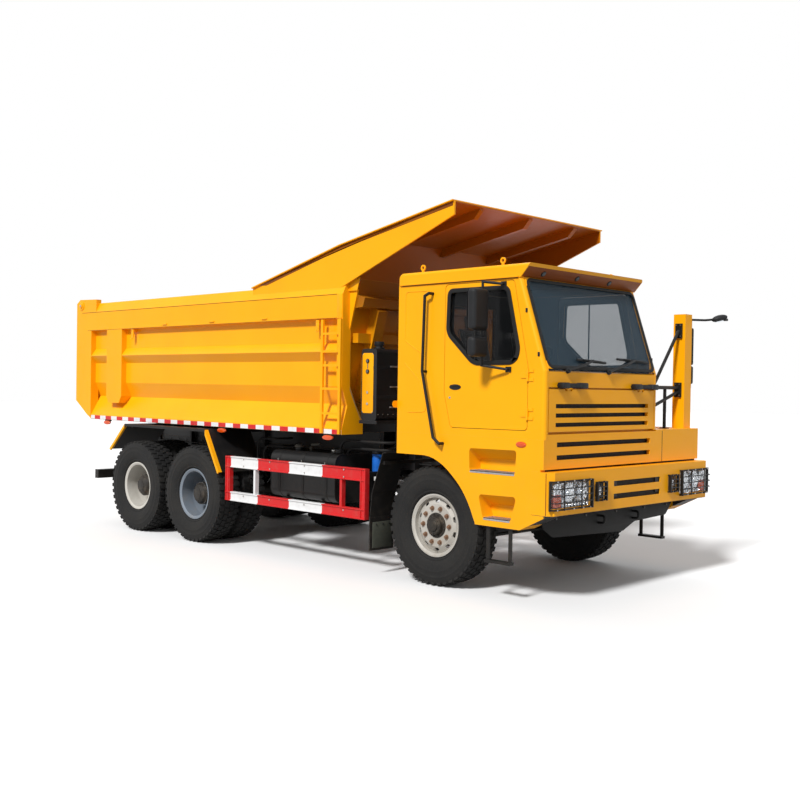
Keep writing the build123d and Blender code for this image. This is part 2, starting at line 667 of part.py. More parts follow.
def step_panel(outer, inward):
    """Lower side box ahead of a front wheel, with two step pockets."""
    inner = outer + inward * 260
    top = CAB_FLOOR_Z - CAB_FLOOR_PLATE - SEAT_GAP
    outline = [(747, STEP_BOT_Z), (1348, STEP_BOT_Z), (1654, 939), (1654, BUMPER_BOT_Z - SEAT_GAP),
               (BUMPER_BACK_U - SEAT_GAP, BUMPER_BOT_Z - SEAT_GAP),
               (BUMPER_BACK_U - SEAT_GAP, BUMPER_TOP_Z + SEAT_GAP),
               (PANEL_U - 40 - SEAT_GAP, BUMPER_TOP_Z + SEAT_GAP),
               (PANEL_U - 40 - SEAT_GAP, top),
               (CAB_BACK_U, top), (CAB_BACK_U, CAB_BOT_Z), (186, CAB_BOT_Z), (526, 1325), (703, 1092)]
    front = [p for p in outline if p[0] > 745]
    body = side_plate(outline, outer + inward * 4, inner)
    body += side_plate(front[1:] + [(CAB_BACK_U, top), (CAB_BACK_U, CAB_BOT_Z)] + ARCH,
                       outer, outer + inward * 12)
    if inward > 0:
        body += block(outer, outer + CAB_WALL - SEAT_GAP, PANEL_U, PANEL_U - 60,
                      BUMPER_TOP_Z + PANEL_SEAM, top)
    hollow = [(800, 850), (1330, 850), (1440, 940), (1440, 1430), (1560, 1440),
              (1560, 1700), (-300, 1700), (-300, 1560), (230, 1560), (600, 1380), (760, 1120)]
    body -= side_plate(hollow, outer + inward * 10, inner + inward * 10)
    for skin, back in STEP_POCKETS:
        body += side_plate(inset(list(skin), -12), outer, outer + inward * (POCKET_DEEP + 12))
        pocket = tapered(skin, back, outer, outer + inward * POCKET_DEEP)
        corners = pocket.edges().filter_by(lambda e: abs(e.tangent_at(0.5).X) > 0.5)
        body -= fillet(corners, POCKET_ROUND)
    return body


def side_steps():
    """Step boxes on both flanks."""
    right = step_panel(CAB_RIGHT_X, 1)
    left = step_panel(DECK_LEFT_X, -1)
    return Compound(children=[*right.solids(), *left.solids()])


def deck():
    """Walkway plate beside the cab."""
    plate = block(CAB_LEFT_X + SEAT_GAP, DECK_LEFT_X, PANEL_U, CAB_BACK_U, DECK_TOP_Z - 12, DECK_TOP_Z)
    low = CAB_FLOOR_Z - CAB_FLOOR_PLATE
    plate += block(DECK_LEFT_X - 12, DECK_LEFT_X, PANEL_U - 42, CAB_BACK_U, low, DECK_TOP_Z)
    plate += block(RAIL_OUT_X + 90, RAIL_OUT_X + 140, 1300, -300, DECK_TOP_Z - 80, DECK_TOP_Z - 12)
    for u in (900, -300):
        plate += block(RAIL_OUT_X + SEAT_GAP, RAIL_OUT_X + 140, u + 40, u - 40, 1300, DECK_TOP_Z - 80)
    return plate


def deck_post():
    """Box post at the deck's front corner."""
    return block(1360, 1520, 1550, 1390, DECK_TOP_Z + SEAT_GAP, 3205)


def deck_rails():
    """Braces, post mirrors and the angled look-down mirror."""
    u = 1470
    body = pipe([(CAB_LEFT_X + 40, u, 2250), (760, u, 2300), (1340, u, 2300)], 22)
    body += rod((760, u, 2300), (1340, u, 3000), 20)
    body += rod((760, u, 2070), (1340, u, 2250), 20)
    body += rod((1040, u, DECK_TOP_Z + 10 + SEAT_GAP), (1040, u, 2300), 20)
    body += rod((CAB_LEFT_X + 40, u, 2250), (CAB_LEFT_X + 40, u, 2020), 20)
    body += rod((CAB_LEFT_X + 40, u, 2020), (760, u, 2070), 20)
    for z in (2275, 3000):
        body += block(1335, 1360 - SEAT_GAP, u + 45, u - 45, z - 90, z + 90)
    body += block(1000, 1080, u + 40, u - 40, DECK_TOP_Z + SEAT_GAP, DECK_TOP_Z + 12)
    mast = rod((1600, 1490, 2300), (1600, 1490, 3160), 16)
    for z in (2420, 3100):
        mast += rod((1520 + SEAT_GAP, 1490, z), (1600, 1490, z), 16)
    mast += pipe([(1600, 1490, 3150), (1760, 1597, 3150), (1880, 1677, 3165)], 14)
    for low, high, wide in ((2620, 3035, 190), (2375, 2565, 190)):
        glass = Pos(1605, y(1455), (low + high) / 2) * Rot(0, 0, 45) * Box(wide, 50, high - low)
        mast += glass
    mast += flat_plate([(1872, 1660), (MIRROR_REACH, 1745), (MIRROR_REACH, 1790), (1915, 1800), (1850, 1700)],
                       3146, 3176)
    return Compound(children=[*body.solids(), *mast.solids()])


def hand_rails():
    """Cab grab rail, hood-seam handles and the hanging steps."""
    pieces = []
    x = CAB_RIGHT_X - 70
    path = [(CAB_RIGHT_X - SEAT_GAP, 86, 3307), (x, 86, 3307), (x, 25, 3280), (x, 2, 2437),
            (x, 181, 1704), (x, 270, 1640), (CAB_RIGHT_X - SEAT_GAP, 270, 1640)]
    pieces += pipe(path, 17).solids()
    pieces += rod((x, 2, 2437), (CAB_RIGHT_X - SEAT_GAP, 2, 2437), 14).solids()
    for left, right in ((-1394, -974), (5, 443)):
        path = [(left, PANEL_U + SEAT_GAP, 2300), (left, PANEL_U + 60, 2300),
                (right, PANEL_U + 60, 2300), (right, PANEL_U + SEAT_GAP, 2300)]
        pieces += pipe(path, 15).solids()
    for sign, outer in ((-1, CAB_RIGHT_X), (1, DECK_LEFT_X)):
        sx = outer - sign * 45
        step = None
        for u in (905, 1205):
            leg = block(sx - 10, sx + 10, u + 20, u - 20, 400, STEP_BOT_Z - SEAT_GAP)
            step = leg if step is None else step + leg
        step += block(sx - 40, sx + 40, 885, 1225, 400, 430)
        pieces += step.solids()
    return Compound(children=pieces)


# ------------------------------------------------------------------ cab
DOOR = [(378, 1824), (1430, 1831), (1430, 2490), (1233, 3392), (278, 3392), (278, 2200)]
DOOR_WINDOW = [(330, 3335), (1160, 3335), (1322, 2645), (1255, 2525), (694, 2516), (312, 2850)]
DOOR_ROUND = 45.0
WINDOW_ROUND = 70.0
DOOR_HINGE_U = 1437.0
DOOR_HINGE_Z = (2000.0, 2400.0)


def door_hinge(z0, z1, strap):
    """One knuckle of a left door hinge, with a strap ahead (+) or behind (-)."""
    x1 = CAB_LEFT_X
    knuckle_leaf = Pos(x1 + 14, y(DOOR_HINGE_U), (z0 + z1) / 2) * Cylinder(13, z1 - z0)
    return knuckle_leaf + block(x1, x1 + 9, DOOR_HINGE_U, DOOR_HINGE_U + strap, z0, z1)


def cab_side():
    """Left cab wall, with the door opening cut and the fixed half of its hinges."""
    x1 = CAB_LEFT_X
    bottom = CAB_FLOOR_Z - CAB_FLOOR_PLATE
    wall = side_plate([
        (CAB_BACK_U, bottom), (SCREEN_LOW[0], bottom), SCREEN_LOW,
        (SCREEN_HIGH[0], GUTTER_Z - SEAT_GAP), (CAB_BACK_U, GUTTER_Z - SEAT_GAP),
    ], x1 - CAB_WALL, x1)
    front = wall.faces().filter_by(Axis.X).sort_by(Axis.X)[-1].edges().filter_by(Axis.Y, reverse=True)
    wall = fillet(front.sort_by(Axis.Y)[:2], CORNER_ROUND)
    wall -= rounded(inset(DOOR, -MOVE_GAP), DOOR_ROUND, x1 - 2 * CAB_WALL, x1 + 10)
    for z in DOOR_HINGE_Z:
        wall += door_hinge(z - 62, z - 30 - SEAT_GAP, 70)
        wall += door_hinge(z + 30 + SEAT_GAP, z + 62, 70)
        wall += Pos(x1 + 14, y(DOOR_HINGE_U), z) * Cylinder(6, 124)
    return wall


def cab_sides():
    """Both cab walls."""
    left = cab_side()
    right = other_side(left, CAB_MID_X)
    left -= block(CAB_LEFT_X - 2 * CAB_WALL, CAB_LEFT_X + 10, PANEL_U + 10, PANEL_U - 42,
                  CAB_FLOOR_Z - CAB_FLOOR_PLATE - 10, DECK_TOP_Z)
    return Compound(children=[*left.solids(), *right.solids()])


def cab_tub():
    """Floor, back wall and cowl, welded as one."""
    x0 = CAB_RIGHT_X + CAB_WALL + SEAT_GAP
    x1 = CAB_LEFT_X - CAB_WALL - SEAT_GAP
    floor = block(x0, x1, PANEL_U - 60, CAB_BACK_U, CAB_FLOOR_Z - CAB_FLOOR_PLATE, CAB_FLOOR_Z)
    back = block(x0, x1, CAB_BACK_U + 50, CAB_BACK_U, CAB_FLOOR_Z, GUTTER_Z - SEAT_GAP)
    back -= block(CAB_MID_X - 600, CAB_MID_X + 600, CAB_BACK_U + 60, CAB_BACK_U - 10, 2500, 3250)
    cowl = side_plate([(PANEL_U - 90, CAB_FLOOR_Z), (PANEL_U - 60, CAB_FLOOR_Z), (PANEL_U - 60, COWL_LOW_Z),
                       (PANEL_U, COWL_LOW_Z), (PANEL_U, 2440), (PANEL_U - 40, 2452), (PANEL_U - 90, 2440)], x0, x1)
    mounts = [block(RAIL_OUT_X - 90, RAIL_OUT_X - 20, u + 60, u - 60, RAIL_TOP_Z + SEAT_GAP,
                    CAB_FLOOR_Z - CAB_FLOOR_PLATE) for u in (1380, -330)]
    mounts += [block(-RAIL_OUT_X + 20, -RAIL_OUT_X + 90, u + 60, u - 60, RAIL_TOP_Z + SEAT_GAP,
                     CAB_FLOOR_Z - CAB_FLOOR_PLATE) for u in (1380, -330)]
    body = floor + back + cowl
    for m in mounts:
        body += m
    hu, hz = HOOD_HINGE
    for x in HOOD_HINGE_X:
        body -= block(x - 36, x + 36, hu + 20, hu - 20, hz - 20, hz + 21)
        for left in (x - 64, x + 32):
            body += drum(left, left + 32, 14, hu, hz)
            body += block(left, left + 32, PANEL_U, hu - 14, hz, COWL_LOW_Z + 8)
        body += drum(x - 64, x + 64, 6, hu, hz)
    return body


def cab_roof():
    """Rounded roof pressing with its sun visor, gutters and lifting eyes."""
    roof = side_plate([
        (CAB_BACK_U - 10, GUTTER_Z), (SCREEN_HIGH[0] - 4, GUTTER_Z), (VISOR_U, ROOF_TOP_Z - 34),
        (VISOR_U + 14, ROOF_TOP_Z), (CAB_BACK_U - 10, ROOF_TOP_Z),
    ], CAB_RIGHT_X - 8, CAB_LEFT_X + 8)
    tail = roof.edges().filter_by(Axis.X).group_by(Axis.Z)[-1].sort_by(Axis.Y)[-1]
    roof = fillet(tail, ROOF_ROUND)
    sides = roof.faces().sort_by(Axis.Z)[-1].edges().filter_by(Axis.Y)
    roof = fillet(sides, ROOF_ROUND / 2)
    roof -= side_plate([
        (CAB_BACK_U + 60, GUTTER_Z - 10), (SCREEN_HIGH[0] - 80, GUTTER_Z - 10),
        (SCREEN_HIGH[0] - 80, ROOF_TOP_Z - 40), (CAB_BACK_U + 100, ROOF_TOP_Z - 40),
    ], CAB_RIGHT_X + 60, CAB_LEFT_X - 60)
    gutter = block(CAB_RIGHT_X - 22, CAB_RIGHT_X, SCREEN_HIGH[0] - 30, CAB_BACK_U + 30,
                   GUTTER_Z, GUTTER_Z + 12)
    roof += gutter + other_side(gutter, CAB_MID_X)
    for u in (-126, 1032):
        eye = Pos(CAB_RIGHT_X + 60, y(u), EYE_Z) * Rot(0, 90, 0) * Cylinder(34, 16)
        eye += block(CAB_RIGHT_X + 52, CAB_RIGHT_X + 68, u + 14, u - 14, ROOF_TOP_Z - 30, EYE_Z - 12)
        eye -= Pos(CAB_RIGHT_X + 60, y(u), EYE_Z) * Rot(0, 90, 0) * Cylinder(18, 60)
        roof += eye
        roof += other_side(eye, CAB_MID_X)
    return roof


def cab_glass():
    """Windscreen and rear window."""
    (u0, z0), (u1, z1) = SCREEN_LOW, SCREEN_HIGH
    x0 = CAB_RIGHT_X + CAB_WALL + 2 * SEAT_GAP
    x1 = CAB_LEFT_X - CAB_WALL - 2 * SEAT_GAP
    share = (z1 - z0 - 4 - 2 * SEAT_GAP) / (z1 - z0)
    low = (u0 - 4, z0 + 4)
    high = (u0 - 4 + (u1 - u0) * share, z0 + 4 + (z1 - z0) * share)
    screen = side_plate([low, high, (high[0] - 12, high[1] - 4), (low[0] - 12, low[1])], x0, x1)
    rear = block(CAB_MID_X - 599.7, CAB_MID_X + 599.7, CAB_BACK_U + 30, CAB_BACK_U + 22, 2500.3, 3249.7)
    return Compound(children=[*screen.solids(), *rear.solids()])


def cab_door():
    """Left door: thick panel with its window cut and an armrest."""
    x1 = CAB_LEFT_X
    door = rounded(DOOR, DOOR_ROUND, x1 - CAB_WALL, x1)
    door -= rounded(DOOR_WINDOW, WINDOW_ROUND, x1 - 100, x1 + 10)
    for z in DOOR_HINGE_Z:
        door += door_hinge(z - 30, z + 30, -90)
        door -= Pos(x1 + 14, y(DOOR_HINGE_U), z) * Cylinder(6 + RUN_GAP, 124)
    return door


def door_pane():
    """Left door's window pane."""
    return rounded(inset(DOOR_WINDOW, SEAT_GAP), WINDOW_ROUND, CAB_LEFT_X - 34, CAB_LEFT_X - 26)


def mirror_case(x0, x1, u0, u1, z0, z1):
    """Mirror housing with rounded corners."""
    case = block(x0, x1, u0, u1, z0, z1)
    return fillet(case.edges(), MIRROR_ROUND * abs(x1 - x0))


def cab_mirrors():
    """Right-hand mirrors on their arms, carried by the door."""
    x0 = CAB_RIGHT_X - SEAT_GAP
    inner = CAB_RIGHT_X - MIRROR_OFF
    mx = inner - MIRROR_ROUND * (MIRROR_REACH + inner)
    body = pipe([(x0, 1100, 3358), (x0 - 40, 1100, 3358), (mx, 940, 3378), (mx, 940, 2500),
                 (x0 - 40, 1180, 2460), (x0, 1180, 2460)], 14)
    body += mirror_case(-MIRROR_REACH, inner, 1005, 895, 2865, 3301)
    body += mirror_case(-MIRROR_REACH, inner, 1005, 895, 2588, 2795)
    for u, z in ((1100, 3358), (1180, 2460)):
        body += block(x0, x0 - 14, u + 35, u - 35, z - 28, z + 28)
    return body


def dashboard():
    """Dash, steering column and wheel."""
    x0 = CAB_RIGHT_X + CAB_WALL + 8
    x1 = CAB_LEFT_X - CAB_WALL - 8
    back = PANEL_U - 90 - SEAT_GAP
    dash = side_plate([(back, 2200), (back, 2436), (1440, 2450), (1250, 2380),
                       (1270, 2240), (1430, 2150)], x0, x1)
    dash += rod((-1000, 1300, 2330), (-1000, 1050, 2570), 30)
    hoop = Plane(origin=(-1000, y(1050), 2570), z_dir=(0, y(1060) - y(1300), 230)) * Torus(220, 16)
    spokes = Plane(origin=(-1000, y(1050), 2570), z_dir=(0, y(1060) - y(1300), 230)) * Box(430, 40, 18)
    return dash + hoop + spokes


def seats():
    """Driver's and passenger's seats: cushion, back and pedestal."""
    pieces = []
    for x in (-1000, -60):
        seat = block(x - 250, x + 250, 780, 260, 2180, 2320)
        seat += side_plate([(330, 2300), (200, 2300), (90, 2960), (200, 2990)], x - 230, x + 230)
        seat += block(x - 180, x + 180, 700, 330, CAB_FLOOR_Z + SEAT_GAP, 2190)
        pieces += seat.solids()
    return Compound(children=pieces)


def hood_flap():
    """Front service flap with three cooling slots."""
    flap = block(HOOD_RIGHT_X, HOOD_LEFT_X, PANEL_U, PANEL_U - HOOD_THICK, HOOD_BOT_Z, HOOD_TOP_Z)
    for high in (2108, 2011, 1913):
        flap -= block(-1424, 365, PANEL_U + 10, PANEL_U - HOOD_THICK - 10, high - 45, high)
    hu, hz = HOOD_HINGE
    for x in HOOD_HINGE_X:
        flap -= block(x - 66, x - 31, PANEL_U + 10, hu - 22, hz - 22, hz + 20)
        flap -= block(x + 31, x + 66, PANEL_U + 10, hu - 22, hz - 22, hz + 20)
        flap += drum(x - 30, x + 30, 14, hu, hz)
        flap -= drum(x - 31, x + 31, 6 + RUN_GAP, hu, hz)
    return flap


# ------------------------------------------------------------------ bed
BED_SECTION = (  # x, z round the left wall, from the rail down and back
    (BED_OUT_X, BED_RAIL_BOT_Z), (BED_OUT_X, BED_RAIL_TOP_Z), (BED_PEAK_X, BED_PEAK_Z),
    (BED_IN_X, BED_EAVE_Z), (BED_IN_X, 2251), (1250, 2030), (1120, BED_FLOOR_Z), (1120, BED_BOT_Z), (1477, BED_BOT_Z),
    (1477, 1725), (1300, 2030), (BED_WALL_X, 2251), (BED_WALL_X, 2567), (BED_OUT_X, 2687),
    (BED_WALL_X, 2800), (BED_WALL_X, BED_RAIL_BOT_Z),
)


def bed_side():
    """Left wall with its posts; the tail corner is cut off below."""
    wall = cross_plate(BED_SECTION, BED_FRONT_U, BED_REAR_U)
    wall += block(BED_IN_X, BED_OUT_X, BED_REAR_U, -7680, 1700, BED_RAIL_BOT_Z)
    wall += side_plate([(-7183, BED_RAIL_BOT_Z), (-6729, BED_RAIL_BOT_Z), (-6729, 2040),
                        (-6800, 1930), (-7112, 1930), (-7183, 2040)], 1300, BED_OUT_X)
    wall -= cross_plate([(1000, BED_FLOOR_Z), (1120, BED_FLOOR_Z), (1250, 2030), (BED_IN_X, 2251),
                         (BED_IN_X, BED_RAIL_BOT_Z + 10), (1000, BED_RAIL_BOT_Z + 10)], -6700, -7210)
    post = [(BED_OUT_X, BED_RAIL_BOT_Z), (BED_OUT_X, 2251), (1390, 2010), (1477, 1725),
            (1300, 2030), (1390, 2251), (1390, BED_RAIL_BOT_Z)]
    wall += cross_plate(post, BED_FRONT_U, BED_FRONT_U - 100)
    wall += side_plate([(-8161, BED_RAIL_TOP_Z), (-8161, 3560), (-8050, 3625), (-7528, 3610),
                        (-7528, 3480), (-7528, BED_RAIL_TOP_Z)], 1400, BED_OUT_X)
    wall -= drum(1390, 1500, 30 + RUN_GAP, *GATE_HINGE)
    cheek_z = 2940
    wall += side_plate([(BED_FRONT_U - 40, cheek_z), (head_u(cheek_z), cheek_z),
                        (head_u(BED_EAVE_Z), BED_EAVE_Z), (BED_FRONT_U - 40, BED_EAVE_Z)],
                       BED_IN_X, BED_IN_X + 20)
    cut = side_plate([(BED_REAR_U - 20, 1950), (BED_REAR_U, 1950), (BED_BOT_REAR_U, BED_BOT_Z),
                      (BED_BOT_REAR_U, BED_BOT_Z - 20), (BED_REAR_U - 20, BED_BOT_Z - 20)], 1000, 1500)
    return wall - cut


def bed_floor():
    """Floor plate, cross bearers and two long sills with the hinge eyes."""
    front = head_u(BED_FLOOR_Z - FLOOR_THICK) - HEAD_THICK - SEAT_GAP
    reach = 1120 - SEAT_GAP
    under = BED_FLOOR_Z - FLOOR_THICK
    floor = block(-reach, reach, front, BED_BOT_REAR_U, under, BED_FLOOR_Z)
    bearers = []
    for k in range(12):
        u = -1950 - k * 510
        bearers.append(block(-reach, reach, u + 40, u - 40, BED_BOT_Z, under - SEAT_GAP))
    hu, hz = BED_HINGE
    top = BED_BOT_Z - SEAT_GAP
    sill = side_plate([(-1900, RAIL_TOP_Z + SEAT_GAP), (-1900, top), (hu - 70, top),
                       (hu - 75, hz - 30), (hu - 40, RAIL_TOP_Z + 15), (hu + 20, RAIL_TOP_Z + SEAT_GAP)],
                      SILL_IN_X, SILL_OUT_X)
    sill -= drum(SILL_IN_X - 5, SILL_OUT_X + 5, BED_PIN_R + RUN_GAP, hu, hz)
    return group(floor, sill, other_side(sill), *bearers)


def head_u(z):
    """Front face of the sloping headboard at a height."""
    (u0, z0), (u1, z1) = HEAD_LOW, HEAD_HIGH
    return u0 + (u1 - u0) * (z - z0) / (z1 - z0)


def headboard():
    """Sloping front plate with box ribs, cross beams and the hoist's ears."""
    low, high = BED_FLOOR_Z - FLOOR_THICK, HEAD_TOP_Z
    plate = side_plate([(head_u(low), low), (head_u(high), high), (head_u(high) - HEAD_THICK, high),
                        (head_u(low) - HEAD_THICK, low)], -BED_IN_X + SEAT_GAP, BED_IN_X - SEAT_GAP)
    corner = cross_plate([(1120 - SEAT_GAP, BED_FLOOR_Z - 40), (1120 - SEAT_GAP, BED_FLOOR_Z),
                          (1250 - SEAT_GAP, 2030), (BED_IN_X - SEAT_GAP, 2251), (BED_IN_X + 10, 2251),
                          (BED_IN_X + 10, BED_FLOOR_Z - 40)], BED_FRONT_U, -2000)
    plate = plate - corner - other_side(corner)
    plate += side_plate([(head_u(3230), 3230), (head_u(3230) + 130, 3240), (head_u(3360) + 130, 3350),
                         (head_u(3390), 3390)], -BED_IN_X + 4, BED_IN_X - 4)
    for x in (-1080, 920):
        plate += side_plate([(head_u(2050), 2050), (head_u(2084) + 150, 2084), (head_u(3200) + 150, 3200),
                             (head_u(3290), 3290)], x, x + 160)
    for x0, x1 in ((-1300, -125), (125, 1300)):
        plate += block(x0, x1, head_u(2860) + 110, head_u(2860) - 10, 2800, 2920)
    eu, ez = HOIST_EYE
    for x in (-125, 85):
        plate += side_plate([(head_u(ez - 120), ez - 120), (eu + 70, ez - 70), (eu + 70, ez + 70),
                             (head_u(ez + 260), ez + 260)], x, x + 40)
    return plate


def shield_z(u):
    """Top of the cab shield's plate."""
    (bu, bz), front = WING_BEND, CANOPY_FRONT[0]
    return bz + (CANOPY_TOP_Z - bz) * (u - bu) / (front - bu)


def canopy():
    """Cab shield: sloping plate, side wings, edge flanges and ribs underneath."""
    z0 = HEAD_TOP_Z + SEAT_GAP
    u0 = head_u(z0)
    u1, z1 = CANOPY_FRONT
    w, t = CANOPY_HALF_W, CANOPY_PLATE
    (tu, tz), (bu, bz) = WING_TAIL, WING_BEND
    rise = (CANOPY_TOP_Z - bz) / (u1 - bu)
    zt = z0
    for k in range(20):
        zt = shield_z(head_u(zt))
    ut = head_u(zt)
    plate = side_plate([(u0, z0), (ut, zt - t / 2), (ut, zt), (ut - 40, shield_z(ut - 40)),
                        (u0 - HEAD_THICK, z0)], -w, w)
    plate += side_plate([(ut - 40, shield_z(ut - 40)), (u1, CANOPY_TOP_Z), (u1, CANOPY_TOP_Z - t),
                         (ut - 40, shield_z(ut - 40) - t)], -w, w)
    nose = (bu, z1 - (z1 - z0) * (u1 - bu) / (u1 - u0))
    wing = side_plate([(tu, BED_RAIL_TOP_Z), (bu - 60, BED_RAIL_TOP_Z), nose, (u1, z1),
                       (u1, CANOPY_TOP_Z), (bu, bz), (tu, tz)], w - t, w)
    slack = SEAT_GAP * 1.5
    cap = [(BED_IN_X, 3000), (BED_OUT_X + slack, 3000), (BED_OUT_X + slack, BED_RAIL_TOP_Z + slack),
           (BED_PEAK_X + slack, BED_PEAK_Z + slack), (BED_PEAK_X - slack, BED_PEAK_Z + slack),
           (BED_IN_X, BED_EAVE_Z + 2 * slack)]
    wing -= cross_plate(cap, BED_FRONT_U + slack, tu - 100)
    flange = side_plate([(tu, tz), (bu, bz), (u1, CANOPY_TOP_Z), (u1, CANOPY_TOP_Z - 12),
                         (bu, bz - 13), (tu, tz - 14)], w - 1, w + 32)
    body = plate + wing + other_side(wing) + flange + other_side(flange)
    for x in (-930, 0, 930):
        top = [(u, shield_z(u) - t + 2) for u in (ut - 10, u1 - 40)]
        low = [(u1 - 40, shield_z(u1 - 40) - t - 20), (u1 - 130, shield_z(u1 - 130) - t - 100),
               (ut - 10, shield_z(ut - 10) - t - 100)]
        body += side_plate(top + low, x - 35, x + 35)
    return body


def ladder():
    """Side ladder welded outside the right wall."""
    x = -BED_OUT_X - SEAT_GAP
    body = None
    for u in (-1900, -1570):
        stile = block(x, x - 30, u + 20, u - 20, 1660, 3090)
        body = stile if body is None else body + stile
    for z in (1912, 2221, 2514, 2687, 2910):
        body += block(x - 5, x - 28, -1900, -1570, z - 14, z + 14)
    return body


def tailgate():
    """Top-hung gate with box ribs and two hinge arms."""
    hu, hz = GATE_HINGE
    outline = [(-8090, 3480), (-8130, 3480), (-8130, 1960), (-7760, 1700), (-7740, 1730), (-8090, 1980)]
    half_w = BED_IN_X - MOVE_GAP
    gate = side_plate(outline, -half_w, half_w)
    corner = cross_plate([(1120 - 12, BED_FLOOR_Z - 200), (1120 - 12, BED_FLOOR_Z - 5), (1250 - 12, 2030),
                          (BED_IN_X - MOVE_GAP, 2260), (BED_IN_X + 10, 2260),
                          (BED_IN_X + 10, BED_FLOOR_Z - 200)], -7600, -8200)
    gate = gate - corner - other_side(corner)
    arm = side_plate([(-8125, 3300), (-8095, 3300), (hu + 60, hz - 50), (hu + 60, hz + 45), (hu - 60, hz + 45),
                      (-8125, 3480)], half_w - 40, half_w)
    arm += drum(half_w - 50, BED_OUT_X, 30, hu, hz)
    return gate + arm + other_side(arm)


# ------------------------------------------------------------------ hoist
def along_hoist(distance):
    """Plane square to the hoist, a distance up from its base pin."""
    (u0, z0), (u1, z1) = HOIST_BASE, HOIST_EYE
    reach = math.hypot(u1 - u0, z1 - z0)
    du, dz = (u1 - u0) / reach, (z1 - z0) / reach
    origin = (0, y(u0 + du * distance), z0 + dz * distance)
    return Plane(origin=origin, x_dir=(1, 0, 0), z_dir=(0, -du, dz))


def hoist_tube(k):
    """Stage k of the telescopic hoist; the last stage is solid and has the eye."""
    outer = HOIST_R[k] - (RUN_GAP if k else 0)
    inner = HOIST_R[k + 1] if k < 3 else 0
    reach = math.hypot(HOIST_EYE[0] - HOIST_BASE[0], HOIST_EYE[1] - HOIST_BASE[1])
    start, end = (-60, 1640) if k == 0 else (20 + 15 * k, 1640 + 30 * k)
    end = reach - 40 if k == 3 else end
    tube = along_hoist(start) * Cylinder(outer, end - start, align=(Align.CENTER, Align.CENTER, Align.MIN))
    if k < 3:
        bore = along_hoist(15 * (k + 1)) * Cylinder(inner, 3000, align=(Align.CENTER, Align.CENTER, Align.MIN))
        tube -= bore
    if k == 0:
        tube += drum(-191, -100, 40, *HOIST_BASE) + drum(100, 191, 40, *HOIST_BASE)
    if k == 3:
        tube += drum(-40, 40, 62, *HOIST_EYE)
        tube -= drum(-50, 50, 34, *HOIST_EYE)
    return tube


# ------------------------------------------------------------------ nodes
def nodes():
    """Every node by name."""
    rim = front_rim()
    front_tyre = tyre(FRONT_TYRE_X, 0)
    left_knuckle = knuckle()
    left_door = cab_door()
    left_pane = door_pane()
    out = {
        "ladder_frame": ladder_frame(), "front_axle": front_axle(), "leaf_springs": leaf_packs(),
        "drive_axles": drive_axles(), "prop_shaft": prop_shafts(), "engine_block": engine(),
        "tanks": tanks(), "side_guards": side_guards(), "mudguards": mudguards(),
        "bumper": bumper(), "lamps": lamps(), "lamp_guards": lamp_guards(),
        "grille_panel": grille_panel(), "side_steps": side_steps(), "deck": deck(),
        "deck_post": deck_post(), "deck_rails": deck_rails(), "hand_rails": hand_rails(),
        "cab_sides": cab_sides(), "cab_tub": cab_tub(), "cab_roof": cab_roof(),
        "cab_glass": cab_glass(), "dashboard": dashboard(), "seats": seats(),
        "door_left": left_door, "door_right": other_side(left_door, CAB_MID_X),
        "door_pane_left": left_pane, "door_pane_right": other_side(left_pane, CAB_MID_X),
        "cab_mirrors": cab_mirrors(), "hood_flap": hood_flap(),
        "bed_sides": both_sides(bed_side()), "bed_floor": bed_floor(), "headboard": headboard(),
        "canopy": canopy(), "ladder": ladder(), "tailgate": tailgate(),
        "knuckle_left": left_knuckle, "knuckle_right": other_side(left_knuckle), "tie_rod": tie_rod(),
        "front_tyre_left": front_tyre, "front_tyre_right": other_side(front_tyre),
        "front_rim_left": rim, "front_rim_right": other_side(rim),
    }
    for name, u in (("mid", MID_U), ("rear", REAR_U)):
        rims = rear_rims(u)
        pair = Compound(children=[tyre(OUTER_TYRE_X, u), tyre(INNER_TYRE_X, u)])
        out[name + "_rims_left"] = rims
        out[name + "_rims_right"] = other_side(rims)
        out[name + "_tyres_left"] = pair
        out[name + "_tyres_right"] = other_side(pair)
    for k, name in enumerate(("hoist_barrel", "hoist_stage_low", "hoist_stage_high", "hoist_rod")):
        out[name] = hoist_tube(k)
    return out


os.makedirs("parts", exist_ok=True)
for node, shape in nodes().items():
    export_step(shape, os.path.join("parts", node + ".step"))
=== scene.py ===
# %% [markdown]
# This lesson dresses a wide-body mining dump truck. The rigid body came from a CAD
# program and is loaded as a fixed frame. Here it gets its paint, rubber, glass and all
# the small parts that a CAD file leaves out, such as tread blocks, nuts and seals.
# Every length is in metres. The truck faces -Y and its right-hand side is -X.

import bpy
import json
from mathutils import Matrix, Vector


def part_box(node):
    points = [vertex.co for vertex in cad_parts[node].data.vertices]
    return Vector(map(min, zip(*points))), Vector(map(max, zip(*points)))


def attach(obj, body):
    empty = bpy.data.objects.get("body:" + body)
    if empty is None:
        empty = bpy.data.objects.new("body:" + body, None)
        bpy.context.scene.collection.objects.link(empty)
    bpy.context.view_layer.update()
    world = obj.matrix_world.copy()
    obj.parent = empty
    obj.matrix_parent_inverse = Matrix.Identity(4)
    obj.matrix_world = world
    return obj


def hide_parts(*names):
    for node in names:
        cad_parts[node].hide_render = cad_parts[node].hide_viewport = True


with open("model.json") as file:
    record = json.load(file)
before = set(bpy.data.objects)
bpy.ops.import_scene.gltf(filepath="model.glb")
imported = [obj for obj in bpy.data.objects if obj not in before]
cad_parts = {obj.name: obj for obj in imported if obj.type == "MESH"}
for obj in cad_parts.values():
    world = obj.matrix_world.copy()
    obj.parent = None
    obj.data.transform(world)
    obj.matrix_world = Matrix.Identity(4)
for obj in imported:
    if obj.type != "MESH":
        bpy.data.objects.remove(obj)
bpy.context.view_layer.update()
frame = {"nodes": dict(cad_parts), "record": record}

import json
import math

